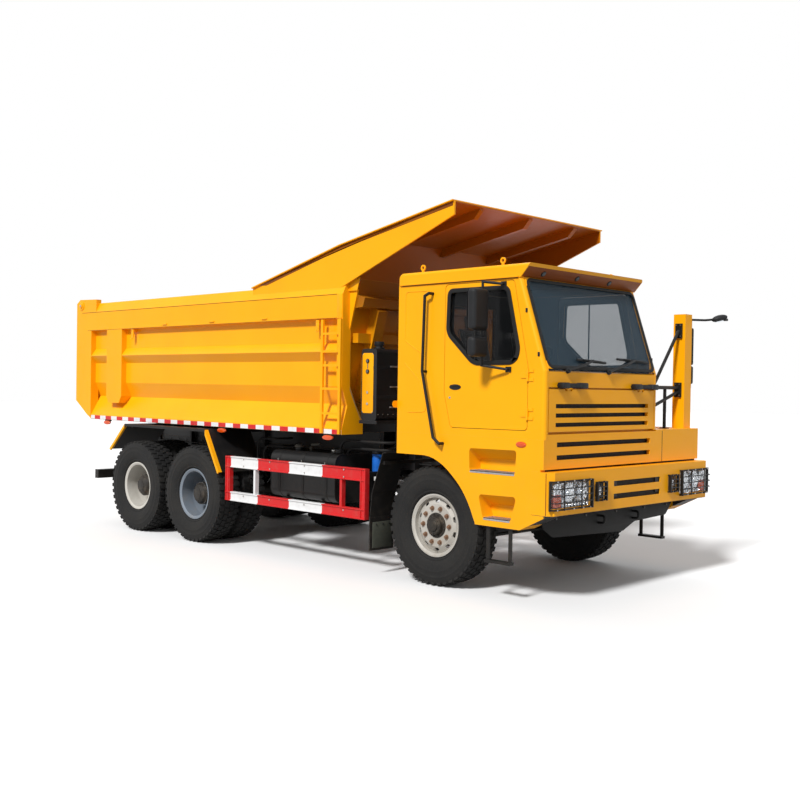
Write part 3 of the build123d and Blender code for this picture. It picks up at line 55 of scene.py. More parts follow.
import bmesh
import bpy
from mathutils import Matrix, Vector

# %% [markdown]
# Drawings of a truck are dimensioned from its front axle. Small functions turn a
# distance u ahead of that axle into Y, so the numbers below read like such a drawing.
# The axles share one height, and the two rear ones lie behind the first.

# %% Measure from the front axle
axle_low, axle_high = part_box("front_axle")
AXLE_Y = (axle_low.y + axle_high.y) / 2


def ahead(u):
    """Y of a place that lies u metres ahead of the front axle."""
    return AXLE_Y - u


def at(x, u, z):
    """Place in the truck's own terms: to its left, ahead of its front axle, and up."""
    return Vector((x, ahead(u), z))


AXLE_Z = 0.685
MID_U, REAR_U = -4.5, -6.0
print("front axle at Y", round(AXLE_Y, 3))

# %% [markdown]
# A long lens from the front right corner shows both the flank and the face. The three
# rows of the matrix are the camera's right, up and backward directions, which can be
# written down from its heading, tilt and roll without any trial and error.

# %% Camera
heading, tilt, roll = math.radians(45.5939), math.radians(-0.72254), math.radians(0.89995)
level_forward = Vector((math.sin(heading), math.cos(heading), 0))
level_right = Vector((math.cos(heading), -math.sin(heading), 0))
forward = level_forward * math.cos(tilt) + Vector((0, 0, math.sin(tilt)))
level_up = level_right.cross(forward)
right = level_right * math.cos(roll) + level_up * math.sin(roll)
up = level_up * math.cos(roll) - level_right * math.sin(roll)

camera = bpy.data.objects.new("camera", bpy.data.cameras.new("camera"))
bpy.context.scene.collection.objects.link(camera)
camera.matrix_world = Matrix((right, up, -forward)).transposed().to_4x4()
camera.location = at(-10.222, 8.020, 2.265)
camera.data.sensor_width = 36
camera.data.lens = 46.98
camera.data.clip_end = 400
bpy.context.scene.camera = camera
bpy.context.scene.view_settings.view_transform = "Standard"
print("lens", camera.data.lens)

# %% [markdown]
# Shader maths reads best as arithmetic. `Signal` wraps the output of a node, and every
# operator on it adds a Math node. `Finish` holds one material: its `node` method sets a
# node's own settings first and then its sockets, from numbers, signals or colours,
# which are linear (red, green, blue).

# %% Shader helpers
def math_node(operation):
    """Operator that adds a Math node."""
    return lambda self, other: self.maths(operation, self, other)


class Signal:
    """A varying number in a shader, with arithmetic."""

    __add__ = __radd__ = math_node("ADD")
    __sub__ = math_node("SUBTRACT")
    __mul__ = __rmul__ = math_node("MULTIPLY")
    __pow__ = math_node("POWER")
    __gt__ = math_node("GREATER_THAN")
    __lt__ = math_node("LESS_THAN")

    def __init__(self, finish, socket):
        self.finish, self.socket = finish, socket

    def maths(self, operation, *values):
        """Result of a Math node."""
        return self.finish.node("ShaderNodeMath", {"operation": operation}, dict(enumerate(values)))

    def __rsub__(self, other):
        return self.maths("SUBTRACT", other, self)

    def __abs__(self):
        return self.maths("ABSOLUTE", self)

    def wave(self):
        """Sine of the signal."""
        return self.maths("SINE", self)

    def wrap(self, length):
        """The remainder after whole lengths are taken away."""
        return self.maths("FLOORED_MODULO", self, length)

    def ramp(self, start, end):
        """0 before start, 1 after end, and smooth between them."""
        sockets = {"Value": self, "From Min": start, "From Max": end}
        return self.finish.node("ShaderNodeMapRange", {"interpolation_type": "SMOOTHSTEP"}, sockets)


class Finish:
    """One material, ending in a Principled shader. Its x, u and z are the truck's own."""

    def __init__(self, name, **constants):
        self.material = bpy.data.materials.new(name)
        self.material.use_nodes = True
        self.tree = self.material.node_tree
        self.shader = self.tree.nodes["Principled BSDF"]
        self.out(**constants)
        split = self.node("ShaderNodeSeparateXYZ", {}, {0: self.place()}).socket.node
        self.x, self.y, self.z = (Signal(self, output) for output in split.outputs)
        self.u = AXLE_Y - self.y

    def node(self, kind, settings, sockets, output=0):
        """Adds a node, sets it and returns one of its outputs."""
        made = self.tree.nodes.new(kind)
        for key, value in settings.items():
            setattr(made, key, value)
        for key, value in sockets.items():
            self.feed(made.inputs[key], value)
        return Signal(self, made.outputs[output])

    def feed(self, socket, value):
        """Links a signal, or sets a number, a vector or an opaque colour."""
        if isinstance(value, Signal):
            self.tree.links.new(value.socket, socket)
        else:
            socket.default_value = (*value, 1.0) if socket.type == "RGBA" else value

    def place(self):
        """Object coordinates, which are the truck's own metres."""
        return self.node("ShaderNodeTexCoord", {}, {}, "Object")

    def noise(self, scale, detail=3.0, stretch=(1, 1, 1)):
        """Cloudy signal; a larger scale makes smaller clouds."""
        moved = self.node("ShaderNodeMapping", {}, {"Vector": self.place(), "Scale": stretch})
        sockets = {"Vector": moved, "Scale": scale, "Detail": detail, "Roughness": 0.55}
        return self.node("ShaderNodeTexNoise", {}, sockets, "Fac")

    def cells(self, scale):
        """Distance to the middle of the nearest cell, for pebbles and facets."""
        sockets = {"Vector": self.place(), "Scale": scale}
        return self.node("ShaderNodeTexVoronoi", {}, sockets, "Distance")

    def mix(self, factor, first, second):
        """Blend of two colours."""
        sockets = {0: factor, 6: first, 7: second}
        return self.node("ShaderNodeMix", {"data_type": "RGBA"}, sockets, 2)

    def out(self, **values):
        """Feeds the Principled shader's own sockets."""
        for socket, value in values.items():
            self.feed(self.shader.inputs[socket.replace("_", " ")], value)

    def bump(self, height, strength, distance):
        """Fine relief."""
        sockets = {"Strength": strength, "Distance": distance, "Height": height}
        self.feed(self.shader.inputs["Normal"], self.node("ShaderNodeBump", {}, sockets))


def scaled(tint, factor, lift=0.0):
    """Brighter or darker version of a colour."""
    return tuple(min(1, c * factor + lift) for c in tint)


print("shader helpers ready")

# %% [markdown]
# A pale floor and an even, pale surrounding keep the eye on the truck. The sun stands
# high on the truck's right, so the flank is bright and the face is a step darker. The
# surroundings look white to the camera and in mirrors, while they light only softly,
# and the floor throws back less light than the eye would expect of it.

# %% Floor, sun and surroundings
def seen_directly(tree):
    """Socket that is 1 for what the eye sees, also in a reflection or through glass."""
    path = tree.nodes.new("ShaderNodeLightPath")
    seen = path.outputs["Is Camera Ray"]
    for kind in ("Is Glossy Ray", "Is Transmission Ray"):
        either = tree.nodes.new("ShaderNodeMath")
        either.operation = "MAXIMUM"
        tree.links.new(seen, either.inputs[0])
        tree.links.new(path.outputs[kind], either.inputs[1])
        seen = either.outputs[0]
    return seen


def world_light(level):
    """White to the eye, in reflections and through glass, and an ambient light of this level."""
    world = bpy.data.worlds.new("surroundings")
    bpy.context.scene.world = world
    world.use_nodes = True
    tree = world.node_tree
    tree.nodes.clear()
    strength = tree.nodes.new("ShaderNodeMapRange")
    strength.inputs["To Min"].default_value = level
    strength.inputs["To Max"].default_value = 1.0
    tree.links.new(seen_directly(tree), strength.inputs["Value"])
    background = tree.nodes.new("ShaderNodeBackground")
    background.inputs["Color"].default_value = (1, 1, 1, 1)
    tree.links.new(strength.outputs[0], background.inputs["Strength"])
    output = tree.nodes.new("ShaderNodeOutputWorld")
    tree.links.new(background.outputs[0], output.inputs["Surface"])


def sun(name, toward, strength, spread):
    """Sunlight that comes from the direction `toward`."""
    lamp = bpy.data.lights.new(name, "SUN")
    lamp.energy = strength
    lamp.angle = math.radians(spread)
    made = bpy.data.objects.new(name, lamp)
    bpy.context.scene.collection.objects.link(made)
    made.rotation_euler = Vector(toward).to_track_quat("Z", "Y").to_euler()


world_light(0.30)
sun("key", (-0.72, -0.18, 0.67), 3.5, 9)
sun("fill", (-0.15, -0.95, 0.35), 0.30, 60)
sun("back", (0.45, 0.60, 0.66), 0.7, 70)

floor_mesh = bmesh.new()
bmesh.ops.create_grid(floor_mesh, x_segments=1, y_segments=1, size=90)
floor_data = bpy.data.meshes.new("floor")
floor_mesh.to_mesh(floor_data)
floor = bpy.data.objects.new("floor", floor_data)
bpy.context.scene.collection.objects.link(floor)

ground = Finish("ground", Roughness=0.9, Specular_IOR_Level=0.1)
seen = Signal(ground, seen_directly(ground.tree))
pale = ground.mix(ground.noise(0.6), (0.90, 0.90, 0.90), (0.94, 0.94, 0.94))
ground.out(Base_Color=ground.mix(seen, (0.36, 0.36, 0.36), pale))
floor_data.materials.append(ground.material)
print("floor and lights ready")

# %% [markdown]
# Sprayed steel is never quite even. The colour drifts a little over a panel, road dust
# clings low down, and corners lose some paint. The Bevel node sees where a surface bends
# sharply, which is a handy mask for the rubbed edges. One recipe serves every paint.

# %% Paint recipe
def edge_mask(finish, radius):
    """1 along sharp edges and 0 on open surfaces."""
    soft = finish.node("ShaderNodeBevel", {"samples": 4}, {"Radius": radius})
    hard = finish.node("ShaderNodeNewGeometry", {}, {}, "Normal")
    settings = {"operation": "DOT_PRODUCT"}
    alike = finish.node("ShaderNodeVectorMath", settings, {0: soft, 1: hard}, "Value")
    return (1 - alike).ramp(0.02, 0.3)


def painted(name, main, deep, worn, dust=0.25, gloss=0.40, coat=0.05, metallic=0.0, grain=420,
            accents=()):
    """Sprayed metal: drifting colour, rubbed edges, low dust and a fine orange peel.
    Each accent is (where, colour) for another coat or for painted shade, and where(finish) gives its
    share."""
    finish = Finish(name, Metallic=metallic, Coat_Roughness=0.2, Specular_IOR_Level=0.2)
    drift = finish.noise(1.3, 2).ramp(0.3, 0.75)
    tint = finish.mix(drift, main, deep)
    for where, second in accents:
        tint = finish.mix(where(finish), tint, second)
    smudge = finish.noise(9, 5).ramp(0.45, 0.8)
    low = 1 - finish.z.ramp(0.2, 2.2)
    dirt = smudge * low * dust + low * dust * 0.25
    tint = finish.mix(dirt, tint, (0.30, 0.24, 0.17))
    chips = edge_mask(finish, 0.006) * finish.noise(38, 4).ramp(0.35, 0.6)
    tint = finish.mix(chips * 0.55, tint, worn)
    rough = gloss + smudge * 0.08 + dirt * 0.5 + chips * 0.15
    finish.out(Base_Color=tint, Roughness=rough, Coat_Weight=(1 - dirt) * coat)
    finish.bump(finish.noise(grain, 2) + finish.noise(2.4, 1) * 6, 0.25, 0.0006)
    return finish.material


YELLOW = (0.98, 0.425, 0.002)
LINING = (0.022, 0.022, 0.024)
# Plain black for hubs and brackets, also laid on as painted shade on undersides and in wheel barrels.
BLACK_AND_SHADE = (0.012, 0.012, 0.013)


def body_paint(name, *accents):
    """The truck's yellow, with its accents."""
    return painted(name, YELLOW, (0.96, 0.400, 0.002), (0.95, 0.50, 0.05), dust=0.08,
                   accents=accents)


def cab_inside(finish):
    """1 on the cab's inner walls, which are lined in dark grey."""
    x, u, z = finish.x, finish.u, finish.z
    inside = (x > -1.604) * (x < 0.541) * (u > -0.434) * (u < 1.575) * (z > 1.79) * (z < 3.526)
    return inside * (u * 0.9475 + z * 0.3198 < 2.322)


yellow = body_paint("body_paint")
cab_yellow = body_paint("cab_paint", (cab_inside, LINING))
black = painted("chassis_black", (0.007, 0.007, 0.0075), (0.012, 0.011, 0.010),
                (0.07, 0.065, 0.06), dust=0.06, gloss=0.46, coat=0.02)
casting = painted("cast_grey", (0.10, 0.105, 0.11), (0.07, 0.07, 0.072),
                  (0.3, 0.3, 0.3), gloss=0.55, coat=0.0, metallic=0.3, grain=160)


def hub_at(u, reach, depth):
    """Where-function for the greasy black middle of a wheel and for its inner barrel, which is painted
    black as shade.
    """
    def where(finish):
        out = ((finish.u - u) ** 2 + (finish.z - AXLE_Z) ** 2) ** 0.5
        return 1 - (out > reach) * (abs(finish.x) > depth)
    return where


# Each rim's middle is its greasy black hub, and its inner barrel beyond the face is painted black as
# shade.
cream = painted("rim_cream", (0.62, 0.60, 0.55), (0.52, 0.50, 0.45),
                (0.30, 0.28, 0.25), dust=0.3, gloss=0.4,
                accents=((hub_at(REAR_U, 0.175, 1.26), BLACK_AND_SHADE),))
slate = painted("rim_slate", (0.20, 0.24, 0.29), (0.15, 0.18, 0.22),
                (0.45, 0.46, 0.47), dust=0.25, gloss=0.42, metallic=0.2,
                accents=((hub_at(MID_U, 0.175, 1.26), BLACK_AND_SHADE),))
silver = painted("rim_silver", (0.52, 0.50, 0.46), (0.42, 0.40, 0.36),
                 (0.75, 0.75, 0.74), dust=0.4, gloss=0.42, metallic=0.1,
                 accents=((hub_at(0, 0.145, 1.33), BLACK_AND_SHADE),))
hub_black = painted("hub_black", BLACK_AND_SHADE, (0.015, 0.013, 0.010),
                    (0.12, 0.11, 0.10), dust=0.2, gloss=0.4)
print("paints ready")

# %% [markdown]
# The guards between the wheels are sprayed in red and white bands that warn other
# drivers. The bands are laid out along the truck by masking tape, so their edges are
# sharp. Here each band is a step along the truck, added one after another.

# %% Striped guards and bed edge
RED, WHITE = (0.62, 0.016, 0.018), (0.80, 0.80, 0.80)
BAND_EDGES = (-3.652, -3.054, -2.403, -1.759)
INNER_FACE_X = 1.470


def banded(name, red_share, gloss=0.35):
    """Red and white finish, where red_share(finish) says which is which. Brackets that
    reach in towards the frame are black."""
    finish = Finish(name, Coat_Roughness=0.2, Coat_Weight=0.05, Specular_IOR_Level=0.2)
    red = red_share(finish)
    smudge = finish.noise(14, 4).ramp(0.42, 0.8)
    tint = finish.mix(red, WHITE, RED)
    tint = finish.mix(smudge * 0.16, tint, (0.25, 0.2, 0.16))
    chips = edge_mask(finish, 0.005) * finish.noise(40, 4).ramp(0.45, 0.7)
    tint = finish.mix(chips * 0.4, tint, (0.5, 0.45, 0.42))
    tint = finish.mix(abs(finish.x) < INNER_FACE_X, tint, BLACK_AND_SHADE)
    finish.out(Base_Color=tint, Roughness=gloss + smudge * 0.15)
    finish.bump(finish.noise(300, 2), 0.2, 0.0005)
    return finish.material


def guard_bands(finish):
    """Red outside, then white, red, white and red along the truck."""
    passed = sum((finish.u < edge for edge in BAND_EDGES), 0)
    return (passed * 0.5).wrap(1.0) < 0.25


guard_paint = banded("guard_paint", guard_bands)
print("guard paint ready")

# %% [markdown]
# Rubber is dark and dull, with a grey bloom in its hollows. Moulded cab plastic has a
# fine leather-like grain. Bare steel is cloudy and rusts in patches, and the chromed
# hoist tubes are the shiniest metal on the truck.

# %% Rubber, plastic and bare metal
def rubber(name, shade, rough=0.78, grain=240):
    """Dark rubber with a dusty bloom."""
    finish = Finish(name, Specular_IOR_Level=0.2)
    cloud = finish.noise(3.0, 5).ramp(0.3, 0.8)
    speck = finish.noise(60, 3).ramp(0.5, 0.75)
    fresh, bloom = (shade, shade, shade * 1.03), (shade * 2.0, shade * 1.9, shade * 1.75)
    tint = finish.mix(cloud, fresh, bloom)
    tint = finish.mix(speck * 0.25, tint, (shade * 4, shade * 3.7, shade * 3.3))
    worn = edge_mask(finish, 0.004)
    tint = finish.mix(worn * 0.35, tint, (shade * 3.2, shade * 3.1, shade * 3.0))
    finish.out(Base_Color=tint, Roughness=rough + cloud * 0.12)
    finish.bump(finish.noise(grain, 3), 0.35, 0.0008)
    return finish.material


def plastic(name, main, rough=0.5, grain=520):
    """Moulded plastic with a pebbled skin."""
    finish = Finish(name, Specular_IOR_Level=0.25)
    cells = finish.cells(grain)
    smudge = finish.noise(12, 4).ramp(0.4, 0.8)
    light = scaled(main, 1.7, 0.004)
    tint = finish.mix(smudge * 0.4, main, light)
    tint = finish.mix(edge_mask(finish, 0.004) * 0.3, tint, light)
    finish.out(Base_Color=tint, Roughness=rough + smudge * 0.12)
    finish.bump(cells, 0.3, 0.0005)
    return finish.material


def bare_metal(name, main, rough, rust=0.0):
    """Bare or plated metal, a little cloudy, with stains of rust."""
    finish = Finish(name, Metallic=1.0)
    cloud = finish.noise(30, 4)
    stain = finish.noise(7, 5).ramp(0.45, 0.75)
    tint = finish.mix(cloud, main, scaled(main, 0.6))
    tint = finish.mix(stain * rust, tint, (0.19, 0.075, 0.03))
    finish.out(Base_Color=tint, Roughness=rough + cloud * 0.1 + stain * 0.1,
               Metallic=1 - stain * rust)
    finish.bump(cloud + finish.noise(180, 2) * 0.5, 0.2, 0.0004)
    return finish.material


tyre_rubber = rubber("tyre_rubber", 0.013)
seal_rubber = rubber("seal_rubber", 0.008, rough=0.6, grain=500)
hose_rubber = rubber("hose_rubber", 0.011, rough=0.55, grain=300)
cab_plastic = plastic("cabin_plastic", (0.007, 0.0075, 0.0085))
grey_plastic = plastic("grey_plastic", (0.10, 0.105, 0.11), rough=0.55)
chrome = bare_metal("polished_steel", (0.72, 0.73, 0.75), 0.12)
zinc = bare_metal("zinc_bolt", (0.62, 0.61, 0.58), 0.32, rust=0.15)
rusty = bare_metal("rusty_nut", (0.34, 0.22, 0.15), 0.5, rust=0.7)
tread_steel = bare_metal("tread_steel", (0.50, 0.50, 0.51), 0.42, rust=0.1)
zinc_dull = bare_metal("dull_bolt", (0.10, 0.10, 0.10), 0.5, rust=0.5)
blue = plastic("filter_blue", (0.010, 0.125, 0.52), rough=0.4)
white = plastic("sleeve_white", (0.62, 0.62, 0.60), rough=0.45)
dusty_plastic = plastic("dusty_plastic", (0.16, 0.15, 0.13), rough=0.7)
tank_black = painted("tank_black", (0.009, 0.009, 0.010), (0.016, 0.016, 0.016),
                     (0.10, 0.095, 0.09), dust=0.06, gloss=0.36, coat=0.05)
# Near-black for the under-run plate, darker than black paint so that it also stands for the shade under
# the bumper.
under_black_and_shade = painted("under_black_and_shade", (0.003, 0.003, 0.003), (0.004, 0.004, 0.004),
                      (0.03, 0.03, 0.03), dust=0.02, gloss=0.60, coat=0.0)
dial_black = plastic("dial_black", (0.004, 0.004, 0.005), rough=0.2)
# Dark brown painted shade for shadow lines under lips and gutters, also used for the dark lines at the
# bumper's ends.
line_shade = painted("line_shade", (0.20, 0.050, 0.002), (0.26, 0.075, 0.002),
                     (0.34, 0.12, 0.01), dust=0.05)
flap_rubber = plastic("flap_rubber", (0.055, 0.058, 0.045), rough=0.8, grain=160)
# Darker yellow painted shade for the visor's downward slope.
visor_shade = painted("visor_shade", (0.20, 0.042, 0.001), (0.27, 0.065, 0.001),
                      (0.80, 0.36, 0.02), dust=0.05)
print("plain materials ready")

# %% [markdown]
# The windscreen is dark blue-grey laminated glass and the door panes are smoked. A thin
# film of dust dulls both in patches. Mirrors are silvered. Lamp lenses are clear, orange
# or red, with ribs that spread the beam.

# %% Glass and lenses
def tinted_glass(name, tint):
    """Tinted pane that shows the cab behind it, and a gloss with faint dust."""
    finish = Finish(name, IOR=1.5, Specular_IOR_Level=0.25)
    dust = finish.noise(6, 5).ramp(0.45, 0.85)
    streak = finish.noise(20, 3, (1, 1, 0.15)).ramp(0.5, 0.8)
    film = finish.mix(dust * 0.06, tint, (0.30, 0.30, 0.30))
    finish.out(Base_Color=film, Roughness=dust * 0.03 + streak * 0.02 + 0.03,
               Alpha=dust * 0.03 + 0.30)
    finish.bump(finish.noise(4, 1), 0.05, 0.002)
    finish.material.surface_render_method = "BLENDED"
    return finish.material


window_glass = tinted_glass("window_glass", (0.040, 0.085, 0.125))
door_glass = tinted_glass("door_glass", (0.012, 0.013, 0.014))


def mirror_glass(name):
    """Silvered glass with dust."""
    finish = Finish(name, Metallic=1.0)
    dust = finish.noise(30, 5).ramp(0.4, 0.9)
    finish.out(Base_Color=finish.mix(dust * 0.3, (0.75, 0.8, 0.85), (0.4, 0.4, 0.4)),
               Roughness=dust * 0.2 + 0.02)
    finish.bump(finish.noise(3, 1), 0.05, 0.001)
    return finish.material


def lens(name, tint, rib=160, alpha=0.5, coat=0.8):
    """Lamp lens with this many ribs to the metre."""
    finish = Finish(name, IOR=1.49, Coat_Weight=coat, Coat_Roughness=0.04)
    cloud = finish.noise(25, 4)
    finish.out(Base_Color=finish.mix(cloud, tint, scaled(tint, 0.7)),
               Roughness=0.06 + cloud * 0.12, Alpha=alpha + cloud * 0.1)
    finish.bump((finish.x * rib * math.tau).wave(), 0.5, 0.0012)
    return finish.material


silvered = mirror_glass("mirror_glass")
clear_lens = lens("lamp_lens", (0.55, 0.60, 0.62), alpha=0.14)
orange_lens = lens("orange_lens", (0.80, 0.085, 0.002), rib=220, alpha=0.97, coat=0.15)
red_lens = lens("red_lens", (0.45, 0.006, 0.004), rib=220, alpha=0.97, coat=0.15)
print("glass ready")

# %% [markdown]
# Each CAD piece names the finish that it takes, and these rows say which material stands
# behind each name. Some nodes get their own: the wheels differ from axle to axle, the
# mudguards have a yellow lip, undersides are painted black as shade, headboard and shield
# carry painted shade, and the load has scraped the bed.

# %% Paint the CAD pieces
def lip(finish):
    """1 on the outer lip of a rear mudguard where it slopes."""
    flat = (finish.u < -4.200) * (finish.u > -6.335)
    return (abs(finish.x) > 1.600) * (finish.u < -2.0) * (1 - flat)


arch_black = painted("arch_black", (0.007, 0.007, 0.008), (0.012, 0.011, 0.010),
                     (0.10, 0.095, 0.09), dust=0.08, gloss=0.5, coat=0.0,
                     accents=((lip, YELLOW),))


def below(level):
    """Where-function for everything lower than a level, such as an underside painted black as shade."""
    return lambda finish: finish.z < level


def step_shade(finish):
    """1 on the underside and the front inner corner of the steps, which are painted black as shade."""
    corner = (finish.z < 0.966) * (finish.x > -1.600) * (finish.x < 1.515) * (finish.u > 1.470)
    return 1 - (finish.z > 0.792) * (1 - corner)


def head_shade(finish):
    """Grows up the headboard, where the cab shield keeps the light off."""
    return finish.z.ramp(2.3, 3.5) * 0.9


def shaded_roof(finish):
    """1 under the cab shield, on its underside, which is painted darker as shade."""
    return (finish.z - finish.u * 0.18666 < 4.3105) * (abs(finish.x) < 1.434)


def load_wear(finish):
    """Share of scraped steel inside the bed, which fades towards its rim."""
    x, z = finish.x, finish.z
    scraped = finish.noise(3.0, 6, (1, 0.25, 1)).ramp(0.30, 0.70)
    inside = (abs(x) < 1.3515) * (abs(x) - z * 0.5 < 0.25) * (z > 1.799)
    return inside * (1 - z.ramp(2.3, 3.5)) * (scraped * 0.40 + 0.45)


SCRAPED = (load_wear, (0.30, 0.235, 0.165))
BY_SLOT = {
    "body_paint": yellow, "chassis_black": black, "cast_grey": casting, "guard_paint": guard_paint,
    "lamp_lens": clear_lens, "window_glass": window_glass, "cabin_plastic": cab_plastic,
    "seat_fabric": cab_plastic, "tyre_rubber": tyre_rubber, "rim_silver": silver, "polished_steel": chrome,
}
BY_NODE = {
    "mudguards": arch_black, "tanks": tank_black,
    "cab_sides": cab_yellow, "cab_tub": cab_yellow, "cab_roof": cab_yellow,
    "door_left": cab_yellow, "door_right": cab_yellow,
    "door_pane_left": door_glass, "door_pane_right": door_glass,
    # Black below a level on the bumper, bed floor and bed sides, and under and inside the steps, is
    # painted shade; the scraped patches in the bed are real wear.
    "bumper": body_paint("bumper_paint", (below(0.968), BLACK_AND_SHADE)),
    "side_steps": body_paint("step_paint", (step_shade, BLACK_AND_SHADE)),
    "bed_floor": body_paint("floor_paint", (below(1.775), BLACK_AND_SHADE), SCRAPED),
    "bed_sides": body_paint("bed_paint", (below(1.654), BLACK_AND_SHADE), SCRAPED),
    "headboard": body_paint("headboard_paint", (head_shade, (0.24, 0.065, 0.002))),
    # The shield's underside gets painted shade.
    "canopy": body_paint("shield_paint", (shaded_roof, (0.36, 0.095, 0.002))),
    "mid_rims_left": slate, "mid_rims_right": slate,
    "rear_rims_left": cream, "rear_rims_right": cream,
}


def coat_node(name, material):
    """Gives every slot of a CAD piece one material."""
    data = frame["nodes"][name].data
    if not data.materials:
        data.materials.append(material)
    for i in range(len(data.materials)):
        data.materials[i] = material


for part in frame["record"]["subparts"]:
    node = part["node"]
    coat_node(node, BY_NODE.get(node, BY_SLOT[part["material_slot"]]))
print("painted", len(frame["nodes"]), "CAD pieces")

# %% [markdown]
# The small parts are built from a few shapes: a box, a round bar, a bent pipe and a
# bolt. Each helper adds its shape to a mesh under construction, softens its edges and
# marks which material it takes. Their corners are tuples (x, u, z) in the truck's terms.
# `settle` turns the mesh into a piece that rides on a CAD body. `ARC_STEPS` is the number
# of straight pieces in a pipe's bend or a plate's round corner.

# %% Mesh helpers
ARC_STEPS = 5


def faces_of(verts):
    """Faces that touch any of the vertices."""
    return list({f for v in verts for f in v.link_faces})


def edges_of(verts):
    """Edges that touch any of the vertices."""
    return list({e for v in verts for e in v.link_edges})


def soften(bm, edges, size, segments=2):
    """Rounds edges over."""
    bmesh.ops.bevel(bm, geom=edges, offset=size, segments=segments, profile=0.5,
                    affect="EDGES", material=-1)


def dye(faces, slot):
    """Marks which of the piece's materials the faces take."""
    for face in faces:
        face.material_index = slot


def spot(place):
    """World place of a tuple (x, u, z); a Vector is one already."""
    return place if isinstance(place, Vector) else at(*place)


def box(bm, low, high, edge=0.0, slot=0, plane=None, segments=2):
    """Block between two corners with rounded edges. On a plane the corners are (a, b, height)."""
    if plane is None:
        low, high, plane = spot(low), spot(high), Matrix.Identity(4)
    low, high = Vector(low), Vector(high)
    matrix = plane @ Matrix.Translation((low + high) / 2) @ Matrix.Diagonal((*(high - low), 1))
    made = bmesh.ops.create_cube(bm, size=1.0, matrix=matrix)["verts"]
    dye(faces_of(made), slot)
    if edge:
        soften(bm, edges_of(made), edge, segments)


def toward(start, end):
    """Matrix at start whose Z looks at end."""
    start, end = spot(start), spot(end)
    return Matrix.Translation(start) @ (end - start).to_track_quat("Z", "Y").to_matrix().to_4x4()


def bar(bm, start, end, radius, sides=20, edge=0.0, slot=0, taper=1.0):
    """Round bar from start to end; taper shrinks its far end."""
    length = (spot(end) - spot(start)).length
    matrix = toward(start, end) @ Matrix.Translation((0, 0, length / 2))
    made = bmesh.ops.create_cone(bm, cap_ends=True, segments=sides, radius1=radius,
                                 radius2=radius * taper, depth=length, matrix=matrix)["verts"]
    dye(faces_of(made), slot)
    if edge:
        rims = [e for e in edges_of(made) if any(len(f.verts) > 4 for f in e.link_faces)]
        soften(bm, rims, edge)


def ball(bm, matrix, around, rings, slot=0, radius=1.0):
    """Sphere, or an egg when the matrix stretches it."""
    made = bmesh.ops.create_uvsphere(bm, u_segments=around, v_segments=rings, radius=radius,
                                     matrix=matrix)["verts"]
    dye(faces_of(made), slot)


def bolt(bm, start, end, radius, slot=0):
    """Hexagon head with a chamfer."""
    bar(bm, start, end, radius, 6, radius * 0.12, slot)


def pipe(bm, points, radius, bend=0.06, sides=12, slot=0):
    """Round pipe through the points, with bends of one radius."""
    points = [spot(p) for p in points]
    made = bmesh.ops.create_circle(bm, cap_ends=True, segments=sides, radius=radius,
                                   matrix=toward(points[0], points[1]))["verts"]
    cap = faces_of(made)
    here = points[0]
    for i in range(1, len(points)):
        leg = (points[i] - here).normalized()
        stop, turn = points[i], None
        if i < len(points) - 1:
            after = (points[i + 1] - points[i]).normalized()
            turn = leg.angle(after)
            stop = points[i] - leg * bend * math.tan(turn / 2)
        grown = bmesh.ops.extrude_face_region(bm, geom=cap)["geom"]
        if i > 1:
            bmesh.ops.delete(bm, geom=cap, context="FACES_ONLY")
        verts = [g for g in grown if isinstance(g, bmesh.types.BMVert)]
        cap = [g for g in grown if isinstance(g, bmesh.types.BMFace)]
        bmesh.ops.translate(bm, verts=verts, vec=stop - here)
        made += verts
        here = stop
        if turn:
            axis = leg.cross(after).normalized()
            centre = stop + axis.cross(leg).normalized() * bend
            spun = bmesh.ops.spin(bm, geom=cap, cent=centre, axis=axis, angle=turn,
                                  steps=ARC_STEPS)["geom_last"]
            bmesh.ops.delete(bm, geom=cap, context="FACES_ONLY")
            cap = [g for g in spun if isinstance(g, bmesh.types.BMFace)]
            made += [g for g in spun if isinstance(g, bmesh.types.BMVert)]
            here = points[i] + after * bend * math.tan(turn / 2)
    dye(faces_of([v for v in made if v.is_valid]), slot)


def mirrored(bm):
    """Adds the mirror image on the other side of the truck."""
    bmesh.ops.mirror(bm, geom=bm.verts[:] + bm.edges[:] + bm.faces[:], axis="X", merge_dist=-1)


def settle(name, bm, slot, materials=None, body="chassis", smooth=32):
    """Turns the mesh into a piece that rides on a CAD body, with its slot's own material
    unless it is given others."""
    bmesh.ops.recalc_face_normals(bm, faces=bm.faces)
    data = bpy.data.meshes.new(name)
    bm.to_mesh(data)
    bm.free()
    for material in materials or [BY_SLOT[slot]]:
        data.materials.append(material)
    data.shade_smooth()
    data.set_sharp_from_angle(angle=math.radians(smooth))
    piece = bpy.data.objects.new(name, data)
    bpy.context.scene.collection.objects.link(piece)
    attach(piece, body)
    print(name, len(data.polygons), "faces")
    return piece


print("mesh helpers ready")

# %% [markdown]
# A mining tyre has a thick sidewall with a rib that guards the rim, and deep blocks
# whose outer ends reach down over the shoulder. The carcass is one profile spun round
# the axle. The blocks are laid in four staggered rows, then one tyre is copied to all.

